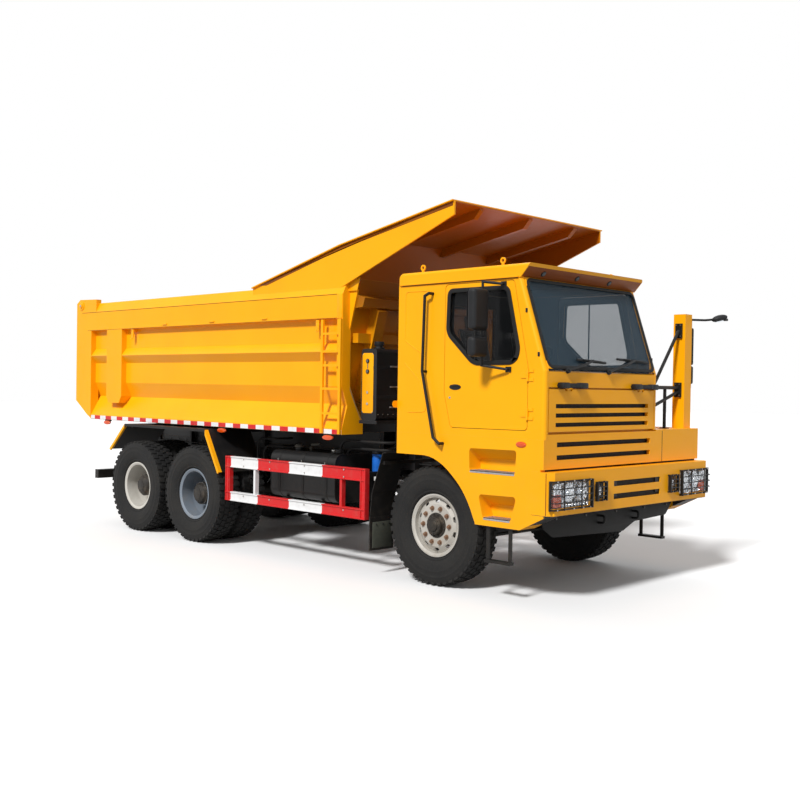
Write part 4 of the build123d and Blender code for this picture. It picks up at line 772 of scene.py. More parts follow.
# %% Tyres
CARCASS = [  # half the section: distance from the middle plane, and radius
    (0.118, 0.3355), (0.118, 0.364), (0.132, 0.370), (0.144, 0.374), (0.154, 0.382), (0.158, 0.392),
    (0.155, 0.400), (0.163, 0.414), (0.174, 0.436), (0.181, 0.466), (0.1855, 0.495), (0.187, 0.515),
    (0.1885, 0.519), (0.1885, 0.526), (0.187, 0.530), (0.186, 0.555), (0.1835, 0.580), (0.1850, 0.584),
    (0.1845, 0.592), (0.1820, 0.596), (0.179, 0.615), (0.174, 0.636), (0.166, 0.655), (0.156, 0.666),
    (0.120, 0.668), (0.0, 0.670),
]
BLOCKS = 44
LUGS = (  # x, radius, size, lead in pitches, tilt, skew
    (0.122, 0.669, (0.066, 0.060, 0.022), 0.0, 0.07, 0.10),
    (0.1655, 0.6525, (0.013, 0.056, 0.046), 0.0, 0.32, 0.0),
    (0.041, 0.6722, (0.066, 0.071, 0.022), 0.4, 0.02, 0.22),
)


def lug(bm, x, radius, size, angle, tilt, skew):
    """Tread block of size (across, along, deep) at a place round the tyre."""
    place = Matrix.Rotation(angle, 4, "X") @ Matrix.Translation((x, 0, radius))
    place = place @ Matrix.Rotation(tilt, 4, "Y") @ Matrix.Rotation(skew, 4, "Z")
    return bmesh.ops.create_cube(bm, size=1.0, matrix=place @ Matrix.Diagonal((*size, 1)))["verts"]


def tyre_mesh():
    """One tyre, with its axle along X at the origin."""
    bm = bmesh.new()
    profile = CARCASS + [(-x, r) for x, r in reversed(CARCASS[:-1])]
    verts = [bm.verts.new((x, 0, r)) for x, r in profile]
    loop = [bm.edges.new(pair) for pair in zip(verts, verts[1:])]
    bmesh.ops.spin(bm, geom=verts + loop, cent=(0, 0, 0), axis=(1, 0, 0), angle=math.tau,
                   steps=96, use_merge=True)
    blocks = []
    pitch = math.tau / BLOCKS
    for k in range(BLOCKS):
        for side in (-1, 1):
            angle = pitch * (k + (0.5 if side > 0 else 0.0))
            for x, radius, size, lead, tilt, skew in LUGS:
                turned = angle + pitch * lead
                blocks += lug(bm, side * x, radius, size, turned, side * tilt, side * skew)
    soften(bm, edges_of(blocks), 0.0022, 1)
    data = bpy.data.meshes.new("tyre")
    bmesh.ops.recalc_face_normals(bm, faces=bm.faces)
    bm.to_mesh(data)
    bm.free()
    return data


def fit_tyres(name, node, body, places):
    """Copies of the tyre at each x, round the node's own axle, in place of the CAD tyres.
    Each is turned by as many radians as its x, so no two stand alike."""
    low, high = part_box(node)
    axle = (low + high) / 2
    bm = bmesh.new()
    for x in places:
        first = len(bm.verts)
        bm.from_mesh(ONE_TYRE)
        fresh = bm.verts[first:]
        bmesh.ops.rotate(bm, verts=fresh, cent=(0, 0, 0), matrix=Matrix.Rotation(x, 3, "X"))
        bmesh.ops.translate(bm, verts=fresh, vec=(x, axle.y, axle.z))
    piece = settle(name, bm, "tyre_rubber", body=body)
    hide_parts(node)


ONE_TYRE = tyre_mesh()
FRONT_X, INNER_X, OUTER_X = 1.298, 1.045, 1.480
for side, sign in (("left", 1), ("right", -1)):
    twin = [sign * INNER_X, sign * OUTER_X]
    fit_tyres("front_tread_" + side, "front_tyre_" + side, "wheel_front_" + side, [sign * FRONT_X])
    fit_tyres("mid_tread_" + side, "mid_tyres_" + side, "wheels_mid_" + side, twin)
    fit_tyres("rear_tread_" + side, "rear_tyres_" + side, "wheels_rear_" + side, twin)

# %% [markdown]
# Seals, lenses and lips are flat shapes with a little thickness. `ring` insets an
# outline and keeps the border, and `slab` keeps it whole. Both stand on a plane: the
# side of the cab, its front, or the slope of the windscreen.

# %% Flat shapes on a plane
def side_plane(x, sign):
    """Plane of the truck's side: first axis ahead, second up, third outward."""
    return Matrix(((0, 0, sign, x), (-1, 0, 0, AXLE_Y), (0, 1, 0, 0), (0, 0, 0, 1)))


def back_plane(u):
    """Upright plane across the truck that looks backwards; its first axis runs to the right."""
    return Matrix(((-1, 0, 0, 0), (0, 0, 1, ahead(u)), (0, 1, 0, 0), (0, 0, 0, 1)))


def slope_plane(u, z, run, rise):
    """Plane across the truck: first axis to the left, second along (run ahead, rise up)."""
    reach = math.hypot(run, rise)
    run, rise = run / reach, rise / reach
    return Matrix(((1, 0, 0, 0), (0, -run, -rise, ahead(u)), (0, rise, -run, z), (0, 0, 0, 1)))


def front_plane(u):
    """Upright plane across the truck: first axis to the left, second up, third ahead."""
    return slope_plane(u, 0, 0, 1)


def level_plane(z):
    """Level plane: first axis to the left, second ahead, third up."""
    return Matrix(((1, 0, 0, 0), (0, -1, 0, AXLE_Y), (0, 0, 1, z), (0, 0, 0, 1)))


def on(plane, a, b, height=0.0):
    """World place on a plane, or this far in front of it."""
    return plane @ Vector((a, b, height))


def outline(bm, corners, radius, place):
    """Face through corners in a plane, with rounded corners."""
    verts = [bm.verts.new(on(place, a, b)) for a, b in corners]
    bm.faces.new(verts)
    if radius:
        verts = bmesh.ops.bevel(bm, geom=verts, offset=radius, segments=ARC_STEPS, profile=0.5,
                                affect="VERTICES", material=-1)["verts"]
    return verts[0].link_faces[0]


def thicken(bm, faces, place, thick, edge, slot):
    """Pulls flat faces out of their plane and rounds the new rim."""
    dye(faces, slot)
    grown = bmesh.ops.extrude_face_region(bm, geom=faces)["geom"]
    verts = [g for g in grown if isinstance(g, bmesh.types.BMVert)]
    top = {g for g in grown if isinstance(g, bmesh.types.BMFace)}
    bmesh.ops.translate(bm, verts=verts, vec=place.to_3x3() @ Vector((0, 0, thick)))
    dye(faces_of(verts), slot)
    if edge:
        soften(bm, [e for f in top for e in f.edges if set(e.link_faces) - top], edge)


def slab(bm, corners, radius, place, thick, edge=0.0, slot=0):
    """Plate of one outline."""
    thicken(bm, [outline(bm, corners, radius, place)], place, thick, edge, slot)


def ring(bm, corners, radius, width, place, thick, edge=0.0, slot=0):
    """Frame of one width along an outline."""
    face = outline(bm, corners, radius, place)
    around = bmesh.ops.inset_region(bm, faces=[face], thickness=width, use_even_offset=True,
                                    use_boundary=True)["faces"]
    bmesh.ops.delete(bm, geom=[face], context="FACES")
    thicken(bm, around, place, thick, edge, slot)


def rectangle(a0, a1, b0, b1):
    """Corners of a rectangle."""
    return [(a0, b0), (a1, b0), (a1, b1), (a0, b1)]


def oval(a, b, half_a, half_b, count=20):
    """Corners of an ellipse."""
    turns = [math.tau * k / count for k in range(count)]
    return [(a + half_a * math.cos(t), b + half_b * math.sin(t)) for t in turns]


print("flat shapes ready")

# %% [markdown]
# The windscreen sits in a thick black rubber with round corners, and the wipers park
# flat along its foot. Two black grips let a fitter pull on the face of the cab, and three
# small lamps are let into the sun visor.

# %% Windscreen
SCREEN = slope_plane(1.652, 2.450, 1.323 - 1.652, 3.420 - 2.450)
SCREEN_X0, SCREEN_X1, SCREEN_B0, SCREEN_B1 = -1.566, 0.503, 0.020, 1.018
CORNER_REACH = 0.092

bm = bmesh.new()
ring(bm, rectangle(SCREEN_X0, SCREEN_X1, SCREEN_B0, SCREEN_B1), 0.085, 0.036, SCREEN, 0.014, 0.004)
settle("screen_seal", bm, "cabin_plastic", [seal_rubber])

bm = bmesh.new()
for a, inward in ((SCREEN_X0, CORNER_REACH), (SCREEN_X1, -CORNER_REACH)):
    for b, upward in ((SCREEN_B0, CORNER_REACH), (SCREEN_B1, -CORNER_REACH)):
        notch = (a + inward * 0.30, b + upward * 0.30)
        slab(bm, [(a, b), (a + inward, b), notch, (a, b + upward)], 0, SCREEN, 0.008)
settle("screen_corners", bm, "body_paint", [cab_yellow])


def wiper(bm, pivot, knee, left, right):
    """Wiper with its pivot cap, arm, blade holder and blade, laid on the glass."""
    def lift(p, height):
        return on(SCREEN, *p, height)

    middle = (Vector(left) + Vector(right)) / 2
    across = (Vector(right) - Vector(left)) * 0.32
    bar(bm, lift(pivot, -0.002), lift(pivot, 0.030), 0.032, 20, 0.005)
    bar(bm, lift(pivot, 0.030), lift(pivot, 0.042), 0.014, 12, 0.002)
    pipe(bm, [lift(pivot, 0.022), lift(knee, 0.045), lift(middle, 0.038)], 0.015, 0.03, 8)
    bar(bm, lift(left, 0.014), lift(right, 0.014), 0.014, 8)
    bar(bm, lift(middle - across, 0.030), lift(middle + across, 0.030), 0.010, 6)
    for share in (-1, -0.4, 0.4, 1):
        foot = middle + across * share
        bar(bm, lift(foot, 0.008), lift(foot, 0.030), 0.007, 6)


bm = bmesh.new()
wiper(bm, (-1.243, 0.004), (-0.93, 0.066), (-1.03, 0.128), (-0.50, 0.104))
wiper(bm, (-0.478, 0.004), (-0.10, 0.090), (-0.245, 0.158), (0.400, 0.130))
settle("wipers", bm, "cabin_plastic")

GRIP_FOOT, GRIP_RIBS, GRIP_PITCH = 0.125, 7, 0.026
bm = bmesh.new()
for x0, x1 in ((-1.410, -0.958), (-0.011, 0.459)):
    box(bm, (x0 + 0.05, 1.732, 2.279), (x1 - 0.05, 1.688, 2.321), 0.010)
    for x in (x0, x1 - GRIP_FOOT):
        box(bm, (x, 1.735, 2.2685), (x + GRIP_FOOT, 1.651, 2.332), 0.014)
    for k in range(GRIP_RIBS):
        x = x0 + 0.150 + k * GRIP_PITCH
        box(bm, (x, 1.735, 2.275), (x + 0.012, 1.685, 2.325), 0.004)
settle("face_grips", bm, "cabin_plastic")

VISOR = slope_plane(1.370, 3.4755, 0.6763, 0.7366)
bm = bmesh.new()
for x in (-1.302, -0.691, -0.061):
    bar(bm, on(VISOR, x, 0, -0.004), on(VISOR, x, 0, 0.010), 0.034, 24, 0.004, 0)
    bar(bm, on(VISOR, x, 0, 0.004), on(VISOR, x, 0, 0.013), 0.024, 24, 0.004, 1)
settle("visor_lamps", bm, "cabin_plastic", [cab_plastic, grey_plastic])

# %% [markdown]
# Both doors carry the same fittings, so they are built once for each side on the door's
# own plane: a broad window rubber, a recessed pull handle and a lock. The cab's side has
# shallow pressed ribs that stiffen the sheet behind the door.

# %% Doors and cab sides
RIGHT_SKIN_X, LEFT_DOOR_X, LEFT_SKIN_X = -1.6185, 0.555, 1.5335
WINDOW_EDGE = [(0.296, 2.852), (0.688, 2.502), (1.261, 2.511), (1.338, 2.640), (1.172, 3.345),
               (0.313, 3.349)]
PRESSING_TOP = [(-0.010, 3.343), (-0.339, 3.348), (-0.335, 2.786), (-0.071, 2.640)]
PRESSING_FOOT = [(-0.337, 2.534), (-0.090, 2.330), (0.020, 1.985), (-0.277, 1.973)]
DOOR_SIDES = (("right", RIGHT_SKIN_X, RIGHT_SKIN_X, -1), ("left", LEFT_DOOR_X, LEFT_SKIN_X, 1))
for name, x, skin_x, sign in DOOR_SIDES:
    plane = side_plane(x, sign)
    bm = bmesh.new()
    ring(bm, WINDOW_EDGE, 0.075, 0.048, plane, 0.011, 0.004)
    ring(bm, WINDOW_EDGE, 0.075, 0.048, side_plane(x - sign * 0.060, -sign), 0.006, 0.002)
    bar(bm, on(plane, 0.70, 2.56, -0.012), on(plane, 0.70, 3.31, -0.012), 0.009, 8)
    settle("window_seal_" + name, bm, "cabin_plastic", [seal_rubber], name + "_door")

    bm = bmesh.new()
    slab(bm, oval(0.437, 2.266, 0.084, 0.031, 28), 0, plane, 0.005, 0.002)
    box(bm, (0.372, 2.272, 0.004), (0.502, 2.290, 0.016), 0.005, 0, plane)
    bar(bm, on(plane, 0.360, 2.150), on(plane, 0.360, 2.150, 0.006), 0.013, 20, 0.002, 1)
    box(bm, (0.358, 2.143, 0.006), (0.362, 2.157, 0.0068), 0, 0, plane)
    box(bm, (0.395, 2.20, -0.062), (0.470, 2.30, -0.078), 0.008, 0, plane)
    bar(bm, on(plane, 0.50, 2.262, -0.070), on(plane, 0.66, 2.262, -0.082), 0.011, 12, 0.003)
    settle("door_handle_" + name, bm, "cabin_plastic", [cab_plastic, zinc], name + "_door")

    bm = bmesh.new()
    skin = side_plane(skin_x, sign)
    slab(bm, oval(1.360, 1.681, 0.066, 0.031, 24), 0, skin, 0.008, 0.003)
    slab(bm, oval(1.360, 1.681, 0.056, 0.024, 24), 0, skin, 0.013, 0.005)
    settle("side_marker_" + name, bm, "lamp_lens", [orange_lens])

    bm = bmesh.new()
    for path in (PRESSING_TOP, PRESSING_FOOT):
        pipe(bm, [on(plane, a, b, 0.0005) for a, b in path], 0.0055, 0.05, 8)
    for u, z in ((1.404, 3.072), (1.568, 2.617)):
        box(bm, (u - 0.012, z - 0.022, 0), (u + 0.012, z + 0.022, 0.010), 0.004, 1, plane)
    settle("cab_pressing_" + name, bm, "body_paint", [cab_yellow, cab_plastic])

# %% [markdown]
# The slots in the face would show daylight through the truck. Black cores behind them
# stop that, with fine fins like a radiator's. A black strip fills the seam above the
# bumper, and a narrow one marks the joint between the grille and the deck's corner.

# %% Cores behind the slots
FIN_PITCH = 0.024


def core(name, x0, x1, z0, z1, u, body="chassis"):
    """Black backing with upright fins, facing ahead."""
    bm = bmesh.new()
    box(bm, (x0, u, z0), (x1, u - 0.006, z1))
    count = int((x1 - x0) / FIN_PITCH)
    for k in range(count):
        x = x0 + (k + 0.5) * (x1 - x0) / count
        box(bm, (x - 0.0015, u + 0.004, z0), (x + 0.0015, u - 0.001, z1))
    settle(name, bm, "chassis_black", body=body)


core("hood_core", -1.470, 0.410, 1.835, 2.135, 1.604, "hood")
core("panel_core", -1.460, 0.480, 1.490, 1.745, 1.600)
core("bumper_core", -0.500, 0.515, 1.045, 1.298, 1.728)

bm = bmesh.new()
box(bm, (-1.540, 1.610, 1.4125), (1.520, 1.580, 1.470))
box(bm, (0.6845, 1.6512, 1.4345), (0.6935, 1.6490, 1.790))
box(bm, (-1.585, 1.600, 0.9645), (1.585, 1.560, 0.990))
settle("seam_strips", bm, "chassis_black", [seal_rubber])

# %% [markdown]
# Each headlamp holds two faceted bowls with bulbs, a row of small facets below them, and
# an orange indicator in its lower outer corner. The fog lamp is a single amber bowl. The
# cages in front of the lamps are held by plated screws.

# %% Lamps
def cut_bowl(name):
    """Bright reflector with pressed facets."""
    finish = Finish(name, Metallic=1.0)
    cells = finish.cells(34.0)
    cloud = finish.noise(20, 2)
    finish.out(Base_Color=finish.mix(cloud, (0.95, 0.96, 0.98), (0.70, 0.74, 0.80)),
               Roughness=cloud * 0.15 + 0.03)
    finish.bump(cells, 0.9, 0.02)
    return finish.material


facets = cut_bowl("lamp_facets")
amber_lens = lens("amber_lens", (0.90, 0.30, 0.03), rib=200, alpha=0.55)
LAMP_U, LAMP_BACK_U, LAMP_CELL_U = 1.752, 1.704, 1.706


def reflector(bm, x, z, radius, slot_bulb, front=LAMP_U - 0.010, deep=0.035):
    """Faceted bowl, open in front, with a bulb cap in the middle."""
    back = front - deep
    place = Matrix.Translation(at(x, front - deep / 2, z)) @ Matrix.Rotation(math.pi / 2, 4, "X")
    made = bmesh.ops.create_cone(bm, cap_ends=False, segments=14, radius1=radius * 0.45,
                                 radius2=radius, depth=deep, matrix=place)["verts"]
    dye(faces_of(made), 0)
    bar(bm, (x, back, z), (x, front - deep * 0.1, z), radius * 0.20, 14, 0.003, slot_bulb)
    bar(bm, (x, back - 0.001, z), (x, back + 0.001, z), radius * 0.46, 14)


bm = bmesh.new()
box(bm, (0.945, LAMP_BACK_U, 1.047), (1.556, 1.699, 1.301), 0, 1)
for x in (1.055, 1.300):
    box(bm, (x - 0.112, 1.712, 1.092), (x + 0.112, LAMP_CELL_U, 1.296), 0.004)
    reflector(bm, x, 1.195, 0.096, 2)
for k in range(9):
    reflector(bm, 0.965 + k * 0.054, 1.068, 0.022, 2, LAMP_U - 0.014, 0.016)
box(bm, (1.428, 1.738, 1.178), (1.556, LAMP_CELL_U, 1.296), 0.006)
box(bm, (1.428, 1.740, 1.158), (1.556, LAMP_CELL_U, 1.178), 0.003, 5)
box(bm, (1.428, 1.742, 1.050), (1.556, LAMP_CELL_U, 1.156), 0.008, 4)
box(bm, (1.558, 1.700, 1.050), (1.592, 1.672, 1.156), 0.005, 4)
box(bm, (0.676, LAMP_BACK_U, 1.101), (0.834, 1.699, 1.259), 0, 1)
box(bm, (0.690, 1.716, 1.112), (0.820, 1.705, 1.248), 0.01, 3)
reflector(bm, 0.755, 1.180, 0.058, 3)
mirrored(bm)
LAMP_FINISHES = [facets, cab_plastic, silvered, amber_lens, orange_lens, red_lens]
settle("lamp_insides", bm, "lamp_lens", LAMP_FINISHES, smooth=20)

bm = bmesh.new()
face_screws = [(x, z) for x in (0.955, 1.085, 1.255, 1.425, 1.545) for z in (1.030, 1.318)]
face_screws += [(x, z) for x in (0.672, 0.750, 0.832) for z in (1.084, 1.276)]
for x, z in face_screws:
    bolt(bm, (x, 1.776, z), (x, 1.784, z), 0.0085)
for z in (1.110, 1.174, 1.238):
    bolt(bm, (0.936, 1.795, z), (0.936, 1.799, z), 0.007)
mirrored(bm)
settle("guard_screws", bm, "polished_steel", [zinc])

# %% [markdown]
# The wheels on the front axle show ten rusty nuts round a black hub. The nuts of the twin
# wheels sit deep inside the outer rim. Each rim has its valve.

# %% Wheel nuts, hubs and valves
class Hub:
    """Things that stand out of a wheel: places are (distance out, round the axle)."""

    def __init__(self, bm, side, u):
        self.bm, self.side, self.u = bm, side, u

    def place(self, out, radius=0.0, angle=0.0):
        return at(self.side * out, self.u - radius * math.cos(angle), AXLE_Z + radius * math.sin(angle))

    def disc(self, out, end, radius, sides, edge, taper=1.0):
        bar(self.bm, self.place(out), self.place(end), radius, sides, edge, 1, taper)

    def nuts(self, out, radius, size, high, count, slot, turn=0.0):
        """Circle of nuts with washers and studs."""
        for k in range(count):
            angle = math.tau * (k + turn) / count
            rises = (0, 0.006, 0.005, high, high * 1.35)
            face, washer, foot, top, end = (self.place(out + rise, radius, angle) for rise in rises)
            bar(self.bm, face, washer, size * 1.35, 14, 0.0015, slot)
            bolt(self.bm, foot, top, size, slot)
            bar(self.bm, top, end, size * 0.55, 10, 0.002, slot)

    def valve(self, out, radius):
        """Tyre valve bent outward through the disc."""
        down = math.pi * 1.5
        points = [self.place(out, radius, down), self.place(out + 0.030, radius, down),
                  self.place(out + 0.070, radius - 0.030, down)]
        pipe(self.bm, points, 0.0045, 0.012, 8, 2)


HUB_FINISHES = [rusty, hub_black, zinc]
for side, sign in (("right", -1), ("left", 1)):
    bm = bmesh.new()
    hub = Hub(bm, sign, 0)
    hub.nuts(1.408, 0.200, 0.0215, 0.030, 10, 0)
    hub.disc(1.408, 1.416, 0.142, 32, 0.003)
    hub.disc(1.416, 1.462, 0.112, 32, 0.010, 0.92)
    hub.disc(1.462, 1.480, 0.070, 24, 0.006, 0.9)
    hub.nuts(1.415, 0.127, 0.010, 0.010, 12, 1, 0.5)
    hub.nuts(1.460, 0.086, 0.009, 0.009, 8, 1)
    hub.valve(1.385, 0.292)
    settle("front_hub_" + side, bm, "polished_steel", HUB_FINISHES, "wheel_front_" + side)
    for axle, u in (("mid", MID_U), ("rear", REAR_U)):
        bm = bmesh.new()
        hub = Hub(bm, sign, u)
        hub.nuts(1.2765, 0.205, 0.0205, 0.030, 10, 0)
        hub.disc(1.548, 1.566, 0.084, 24, 0.006)
        hub.nuts(1.500, 0.136, 0.010, 0.012, 12, 1, 0.5)
        hub.nuts(1.556, 0.064, 0.008, 0.008, 6, 1)
        hub.valve(1.345, 0.300)
        body = "wheels_" + axle + "_" + side
        settle(axle + "_hub_" + side, bm, "polished_steel", HUB_FINISHES, body)

# %% [markdown]
# Reflective tape runs along the foot of the bed in red and white squares. Orange position
# lamps hang below it on small brackets, and tarpaulin hooks are welded under the rail.

# %% Bed edge
TAPE_START, TAPE_PITCH = -1.562, 0.3425


def tape_red(finish):
    """Red squares of the tape, one pitch after another."""
    return (TAPE_START - finish.u).wrap(TAPE_PITCH) < TAPE_PITCH / 2


tape = banded("tape_squares", tape_red, 0.25)
bm = bmesh.new()
box(bm, (1.4768, -1.556, 1.655), (1.4785, -7.676, 1.713))
mirrored(bm)
settle("edge_tape", bm, "guard_paint", [tape], "bed")

bm = bmesh.new()
for u in (-1.82, -4.065, -7.18):
    box(bm, (1.440, u + 0.095, 1.630), (1.446, u - 0.095, 1.652), 0.002, 1)
    box(bm, (1.446, u + 0.085, 1.596), (1.462, u - 0.085, 1.651), 0.006, 1)
    slab(bm, oval(u, 1.606, 0.098, 0.032, 24), 0, side_plane(1.458, 1), 0.020, 0.007, 0)
mirrored(bm)
settle("bed_markers", bm, "lamp_lens", [orange_lens, cab_plastic], "bed")


def hook(bm, u, half, inner, outer, radius):
    """Rod bent out of a wall and back, between two places (x, z)."""
    (x0, z0), (x1, z1) = inner, outer
    front, rear = u + half, u - half
    pipe(bm, [(x0, front, z0), (x1, front, z1), (x1, rear, z1), (x0, rear, z0)], radius, 0.01, 8)


bm = bmesh.new()
for u in (-2.040, -6.441):
    box(bm, (1.400, u + 0.030, 3.060), (1.476, u - 0.030, 3.100), 0.004)
    box(bm, (1.462, u + 0.030, 2.955), (1.476, u - 0.030, 3.070), 0.004)
    hook(bm, u, 0.022, (1.470, 2.965), (1.486, 2.945), 0.008)
for u in (-3.1, -4.3, -5.5):
    hook(bm, u, 0.05, (1.4885, 3.150), (1.503, 3.140), 0.007)
mirrored(bm)
settle("bed_hooks", bm, "body_paint", body="bed")

GUSSET = [(-1.62, 3.440), (-1.395, 3.440), (-1.352, 3.600), (-1.62, 3.600)]
bm = bmesh.new()
for side in (-1, 1):
    slab(bm, GUSSET, 0, side_plane(side * 1.385, side), 0.010, 0.002)
settle("shield_gussets", bm, "body_paint", body="bed")

# %% [markdown]
# The two steps pressed into each side have grey tread plate on their floors, with rows
# of raised teeth. The teeth bite the driver's boots even when they are muddy.

# %% Step treads
TOOTH_PITCH, TOOTH_ROWS = 0.030, 5


def tread_plate(bm, sign, skin, u0, u1, z):
    """Plate with a turned-down lip and staggered teeth."""
    x0, x1 = sorted((sign * (skin - 0.166), sign * (skin + 0.004)))
    lip_x0, lip_x1 = sorted((sign * (skin - 0.006), sign * (skin + 0.004)))
    box(bm, (x0, u1 + 0.004, z), (x1, u0 - 0.004, z + 0.010), 0.002)
    box(bm, (lip_x0, u1 + 0.004, z - 0.016), (lip_x1, u0 - 0.004, z + 0.010), 0.002)
    count = int((u1 - u0) / TOOTH_PITCH)
    for k in range(count):
        for row in range(TOOTH_ROWS):
            u = u0 + (k + 0.25 + (row % 2) * 0.5) * (u1 - u0) / count
            x = sign * (skin - 0.148 + row * 0.032)
            bar(bm, (x, u, z + 0.009), (x, u, z + 0.014), 0.006, 6)


bm = bmesh.new()
for sign, skin in ((-1, -RIGHT_SKIN_X), (1, LEFT_SKIN_X)):
    tread_plate(bm, sign, skin, 0.672, 1.272, 1.3635)
    tread_plate(bm, sign, skin, 0.872, 1.222, 0.8695)
settle("step_treads", bm, "polished_steel", [tread_steel])

# %% [markdown]
# The red and white guards are folded channels, so both edges of each rail stand proud.
# Behind them the fuel tank is held by steel bands and carries its filler and sender.

# %% Guards and fuel tank
GUARD_X, FLANGE = 1.599, 0.016
bm = bmesh.new()
for z0, z1 in ((0.660, 0.785), (1.120, 1.270)):
    for low in (z0, z1 - FLANGE):
        box(bm, (GUARD_X, -0.978, low), (GUARD_X + 0.013, -3.772, low + FLANGE), 0.003)
for u in (-0.978, -1.052, -3.698, -3.756):
    box(bm, (GUARD_X, u, 0.662), (GUARD_X + 0.012, u - 0.014, 1.268), 0.003)
mirrored(bm)
settle("guard_flanges", bm, "guard_paint")

bm = bmesh.new()
for u in (-1.36, -2.10, -2.80, -3.364):
    for z in (0.745, 1.150, 1.240):
        bolt(bm, (1.600, u, z), (1.610, u, z), 0.011)
mirrored(bm)
settle("guard_bolts", bm, "polished_steel", [zinc])


def stack(bm, x, u, *rings):
    """Upright round body in steps (low z, high z, radius, sides, edge, slot)."""
    for z0, z1, radius, sides, edge, slot in rings:
        bar(bm, (x, u, z0), (x, u, z1), radius, sides, edge, slot)


def round_about(x, u, z, radius, count):
    """Places on a level circle."""
    turns = [math.tau * k / count for k in range(count)]
    return [at(x, u, z) + Vector((radius * math.cos(t), radius * math.sin(t), 0)) for t in turns]


bm = bmesh.new()
for u in (-1.98, -2.44, -2.92):
    band = rectangle(-1.3545, -0.6155, 0.7595, 1.3875)
    ring(bm, band, 0.114, 0.0065, front_plane(u - 0.03), 0.060, 0.001)
for u in (-1.806, -3.092):
    seam = rectangle(-1.3535, -0.6165, 0.7605, 1.3865)
    ring(bm, seam, 0.113, 0.010, front_plane(u), 0.008, 0.002)
for u in (-1.99, -2.45, -2.93):
    bolt(bm, (-1.365, u + 0.016, 1.20), (-1.352, u + 0.016, 1.20), 0.010, 2)
    bar(bm, (-1.360, u, 1.12), (-1.360, u, 1.28), 0.006, 8, 0, 2)
stack(bm, -1.10, -2.80, (1.380, 1.425, 0.055, 28, 0.004, 0), (1.425, 1.452, 0.064, 28, 0.008, 1))
box(bm, (-1.155, -2.790, 1.450), (-1.045, -2.810, 1.466), 0.005, 1)
pipe(bm, [(-0.98, -2.70, 1.375), (-0.98, -2.70, 1.455), (-0.98, -2.52, 1.470)], 0.018, 0.03, 12, 1)
stack(bm, -0.92, -2.30, (1.380, 1.405, 0.038, 20, 0.003, 2))
for foot in round_about(-0.92, -2.30, 1.405, 0.03, 6):
    bolt(bm, foot, foot + Vector((0, 0, 0.005)), 0.005, 2)
settle("tank_bands", bm, "chassis_black", [tank_black, dusty_plastic, zinc])

# %% [markdown]
# The hydraulic tank behind the cab has a yellow plate with two sight gauges on its side,
# a ribbed filler cap and three latches. Steel pipes run from it down to the pump and
# back to the axles, and a blue filter hangs beside them.

# %% Hydraulic tank, pipes and filter
OIL_SIDE = side_plane(-1.330, -1)
CAP_X, CAP_U = -1.200, -1.190
GAUGE_U = -1.247


def stud(bm, a, b, low, high, radius, sides, edge, slot):
    """Round boss on the tank's side."""
    bar(bm, on(OIL_SIDE, a, b, low), on(OIL_SIDE, a, b, high), radius, sides, edge, slot)


bm = bmesh.new()
slab(bm, rectangle(-1.344, -1.150, 1.930, 2.668), 0.030, OIL_SIDE, 0.004, 0.0015)
for z in (2.571, 2.442):
    stud(bm, GAUGE_U, z, 0.002, 0.018, 0.027, 24, 0.004, 1)
    stud(bm, GAUGE_U, z, 0.017, 0.020, 0.019, 24, 0.001, 2)
box(bm, (-1.253, 2.478, 0.003), (-1.241, 2.538, 0.010), 0.003, 2, OIL_SIDE)
for z in (2.185, 2.045):
    bolt(bm, on(OIL_SIDE, GAUGE_U, z, 0.002), on(OIL_SIDE, GAUGE_U, z, 0.014), 0.018, 3)
for a, b in rectangle(-1.333, -1.161, 1.943, 2.655):
    stud(bm, a, b, 0.003, 0.007, 0.006, 10, 0.001, 3)
stack(bm, CAP_X, CAP_U, (2.716, 2.740, 0.068, 32, 0.004, 1), (2.760, 2.812, 0.057, 32, 0.006, 1))
for foot in round_about(CAP_X, CAP_U, 2.764, 0.056, 24):
    bar(bm, foot, foot + Vector((0, 0, 0.042)), 0.004, 6, 0, 1)
for z in (2.506, 2.255, 2.004):
    box(bm, (-1.100, -1.086, z - 0.010), (-0.900, -1.096, z + 0.010), 0.004, 3)
    bolt(bm, (-1.085, -1.086, z), (-1.085, -1.080, z), 0.009, 3)
for k in range(9):
    x = -1.300 + k * 0.085
    bolt(bm, (x, -1.094, 1.915), (x, -1.088, 1.915), 0.008, 3)
for z in (2.10, 2.46):
    strap = rectangle(-1.3335, -0.5565, -1.3655, -1.0915)
    ring(bm, strap, 0.042, 0.004, level_plane(z), 0.050, 0.001, 4)
settle("oil_tank_fittings", bm, "cabin_plastic", [yellow, cab_plastic, grey_plastic, zinc, tank_black])

bm = bmesh.new()
for x, u0, z0, u1, z1 in ((-1.12, -1.952, 1.15, -1.10, 1.560), (-1.08, -1.875, 1.15, -1.16, 1.462)):
    pipe(bm, [(x, u0, z0), (x, u0, z1), (x, u1, z1), (x + 0.30, u1, z1)], 0.017, 0.13, 12)
for x, u0, z0, z1 in ((-0.98, -3.860, 1.02, 1.500), (-0.94, -3.770, 1.02, 1.400)):
    u1 = u0 + 0.36
    pipe(bm, [(x, u0, z0), (x, u0, z1), (x, u1, z1), (x + 0.34, u1, z1)], 0.017, 0.12, 12)
for x, drop in ((-0.86, 0), (-0.80, 0.05), (-0.74, 0.10)):
    pipe(bm, [(x, -1.20, 1.800), (x, -1.20, 1.50 - drop), (x, -1.48, 1.42 - drop), (x, -1.48, 1.10),
              (x + 0.26, -1.48, 1.10)], 0.016, 0.07, 12)
for x in (-0.52, 0.52):
    for z, radius in ((1.310, 0.010), (1.275, 0.008)):
        pipe(bm, [(x, -0.9, z), (x, -7.2, z)], radius, sides=8)
settle("steel_pipes", bm, "chassis_black", [hose_rubber])

